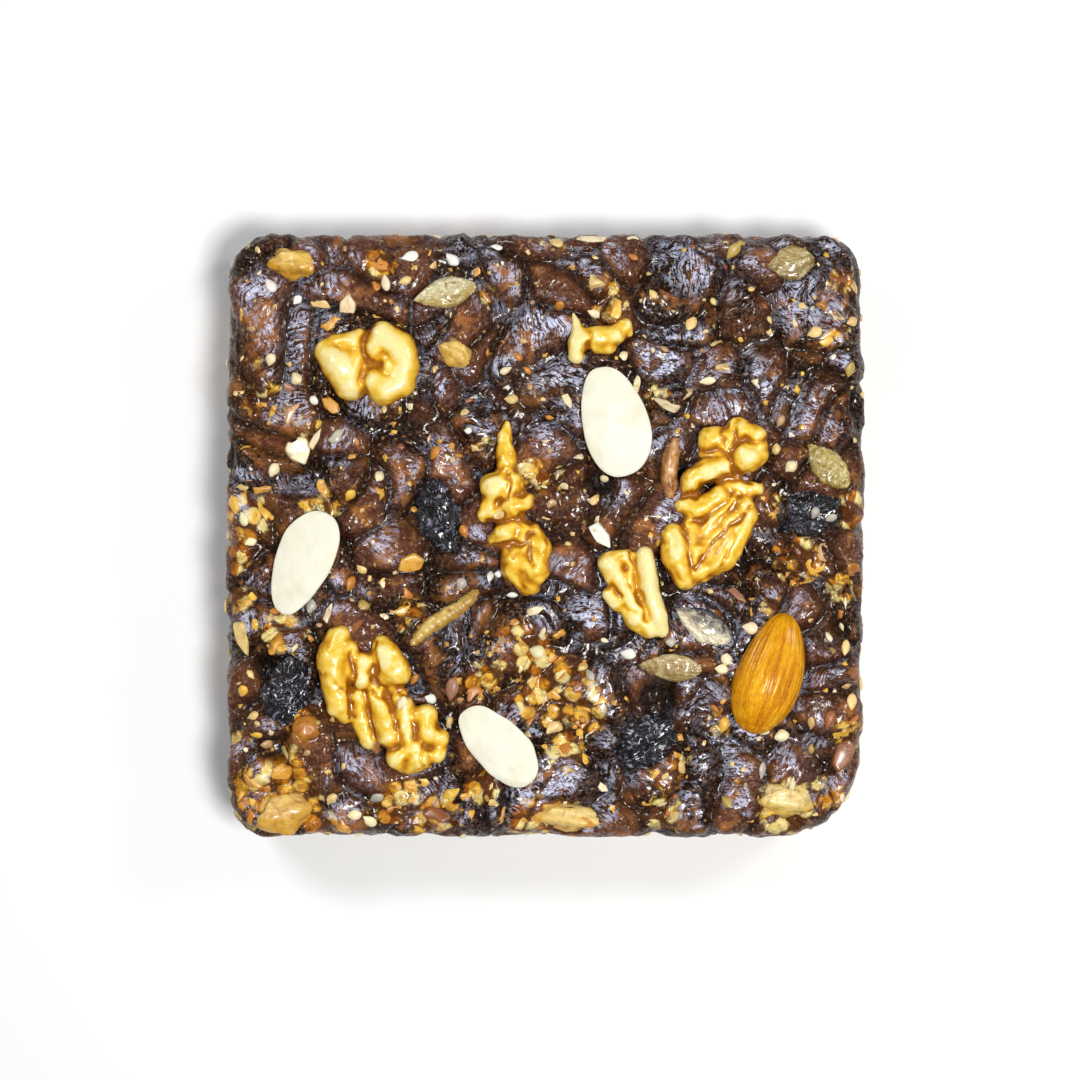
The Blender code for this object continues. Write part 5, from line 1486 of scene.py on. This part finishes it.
def skin_strip(name, path, width, material):
    """A thin curled strip of walnut skin along a path of pixels."""
    points = [Vector((*at_pixel(u, v), 0)) for u, v in path]
    steps, rows = 24, 9
    verts = []
    for layer, i in itertools.product((0, 1), range(steps + 1)):
        t = i / steps * (len(points) - 1)
        k = min(int(t), len(points) - 2)
        middle = points[k].lerp(points[k + 1], t - k)
        along = (points[k + 1] - points[k]).normalized()
        side = Vector((-along.y, along.x, 0))
        taper = math.sin(math.pi * min(max(i / steps, 0.04), 0.96)) ** 0.4
        for j in range(rows + 1):
            s = j / rows - 0.5
            wobble = noise.noise(Vector((i * 0.4, j * 0.5, len(name)))) * 0.5 * MM
            at = middle + side * (s * width * MM * taper + wobble * 0.5)
            height = SLAB_HEIGHT + (1.5 - 7.0 * s * s) * MM * taper + wobble
            verts.append(Vector((at.x, at.y, height - (0.0 if layer else SKIN_THICKNESS))))
    row = rows + 1
    half = (steps + 1) * row
    faces = []
    for i, j in itertools.product(range(steps), range(rows)):
        a = i * row + j
        b = half + a
        faces += [[a, a + row, a + row + 1, a + 1], [b, b + 1, b + row + 1, b + row]]
    rim = [i * row for i in range(steps + 1)]
    rim += [steps * row + j for j in range(1, row)]
    rim += [i * row + rows for i in range(steps - 1, -1, -1)]
    rim += range(rows - 1, 0, -1)
    faces += [[a, half + a, half + b, b] for a, b in zip(rim, rim[1:] + rim[:1])]
    mesh = mesh_of(name, verts, faces)
    bm = bmesh.new()
    bm.from_mesh(mesh)
    outwards(bm)
    bm.to_mesh(mesh)
    bm.free()
    thing = new_object(name, mesh, material)
    smooth(thing, 60)
    return thing


def tree_of(things):
    """All the things as one surface for rays."""
    verts, faces = [], []
    for thing in things:
        first = len(verts)
        verts += [v.co.copy() for v in thing.data.vertices]
        faces += [[first + i for i in polygon.vertices] for polygon in thing.data.polygons]
    return BVHTree.FromPolygons(verts, faces)


# Stage

def add_light(name, place, size, power, colour):
    lamp = bpy.data.lights.new(name, "AREA")
    lamp.size = size
    lamp.energy = power
    lamp.color = colour
    thing = bpy.data.objects.new(name, lamp)
    thing.location = place
    thing.rotation_euler = (LIGHT_AIM - Vector(place)).to_track_quat("-Z", "Y").to_euler()
    bpy.context.scene.collection.objects.link(thing)


def stage():
    """A pale floor, soft lamps and the camera at the photograph's angle."""
    bm = bmesh.new()
    bmesh.ops.create_grid(bm, x_segments=2, y_segments=2, size=2.0)
    floor = mesh_of("floor", *bmesh_arrays(bm))
    new_object("floor", floor, floor_material())
    scene = bpy.context.scene
    scene.view_settings.view_transform = "Standard"
    scene.world = bpy.data.worlds.new("studio")
    scene.world.use_nodes = True
    backdrop = scene.world.node_tree.nodes["Background"]
    backdrop.inputs["Color"].default_value = (0.97, 0.98, 1.0, 1)
    backdrop.inputs["Strength"].default_value = 0.12
    for light in LIGHTS:
        add_light(*light)
    camera = bpy.data.objects.new("camera", bpy.data.cameras.new("camera"))
    camera.data.lens = LENS
    camera.location = CAMERA_PLACE
    scene.collection.objects.link(camera)
    scene.camera = camera


def larger_pieces(ground, golden):
    """The nuts, seeds, raisins, chunks and skins as (object, the node it replaces, slot)."""
    walnut, flesh, brown_skin = kernel_material(), almond_flesh_material(), almond_skin_material()
    hull, raisin, thin_skin = seed_material(), raisin_material(), skin_material()
    pieces = [(kernel(name, nut, walnut), name, "walnut") for name, nut in WALNUTS.items()]
    for name, (*_, split) in ALMONDS.items():
        if split:
            pieces.append((split_almond(name, flesh), name, "almond_flesh"))
        else:
            pieces.append((whole_almond(name, brown_skin), name, "almond_skin"))
    for number, (name, (*shape, ribs)) in enumerate(SEEDS.items()):
        thing = pressed(name, shape, melon_body(number, ribs), ground, hull)
        pieces.append((thing, name, "seed_hull"))
    for number, (name, shape) in enumerate(RAISINS.items()):
        shape = (*shape, TINTS["rust"], TINTS["rust"])
        pieces.append((pressed(name, shape, raisin_body(number), ground, raisin), name, "raisin"))
    for number, (name, shape) in enumerate(CHUNKS.items()):
        make = strip_body if name == "fig_strip" else chunk_body
        pieces.append((pressed(name, shape, make(number), ground, golden), name, "cashew"))
    for name, path, width in SKINS:
        pieces.append((skin_strip(name, path, width, thin_skin), None, "walnut"))
    return pieces


def main():
    noise.seed_set(LUMP_SEED)
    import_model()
    core = Slab()
    under = Ground(BVHTree.FromPolygons(core.base.tolist(), core.faces))
    golden = tinted_material("cashew", 0.5, 1.6, 0.7)
    pieces = larger_pieces(under, golden)
    nuts = tree_of([thing for thing, _, _ in pieces])
    slab = core.finished(nuts)
    pieces.append((slab, "date_slab", "date_paste"))
    bits = Scatter(Ground(tree_of([slab])), nuts)
    bits.placed()
    bits.clusters()
    bits.crumbs()
    bits.sides()
    sesame = tinted_material("sesame", 0.15, 0.9, 0.25)
    pieces.append((bits.heaps["sesame"].made("sesame_seeds", sesame), None, "seed_hull"))
    pieces.append((bits.heaps["chip"].made("nut_chips", golden), None, "cashew"))
    pieces.append((bits.heaps["crumb"].made("nut_crumbs", golden), None, "cashew"))
    for thing, node, slot in pieces:
        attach(thing, "root")
        if node:
            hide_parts(node)
    stage()


main()
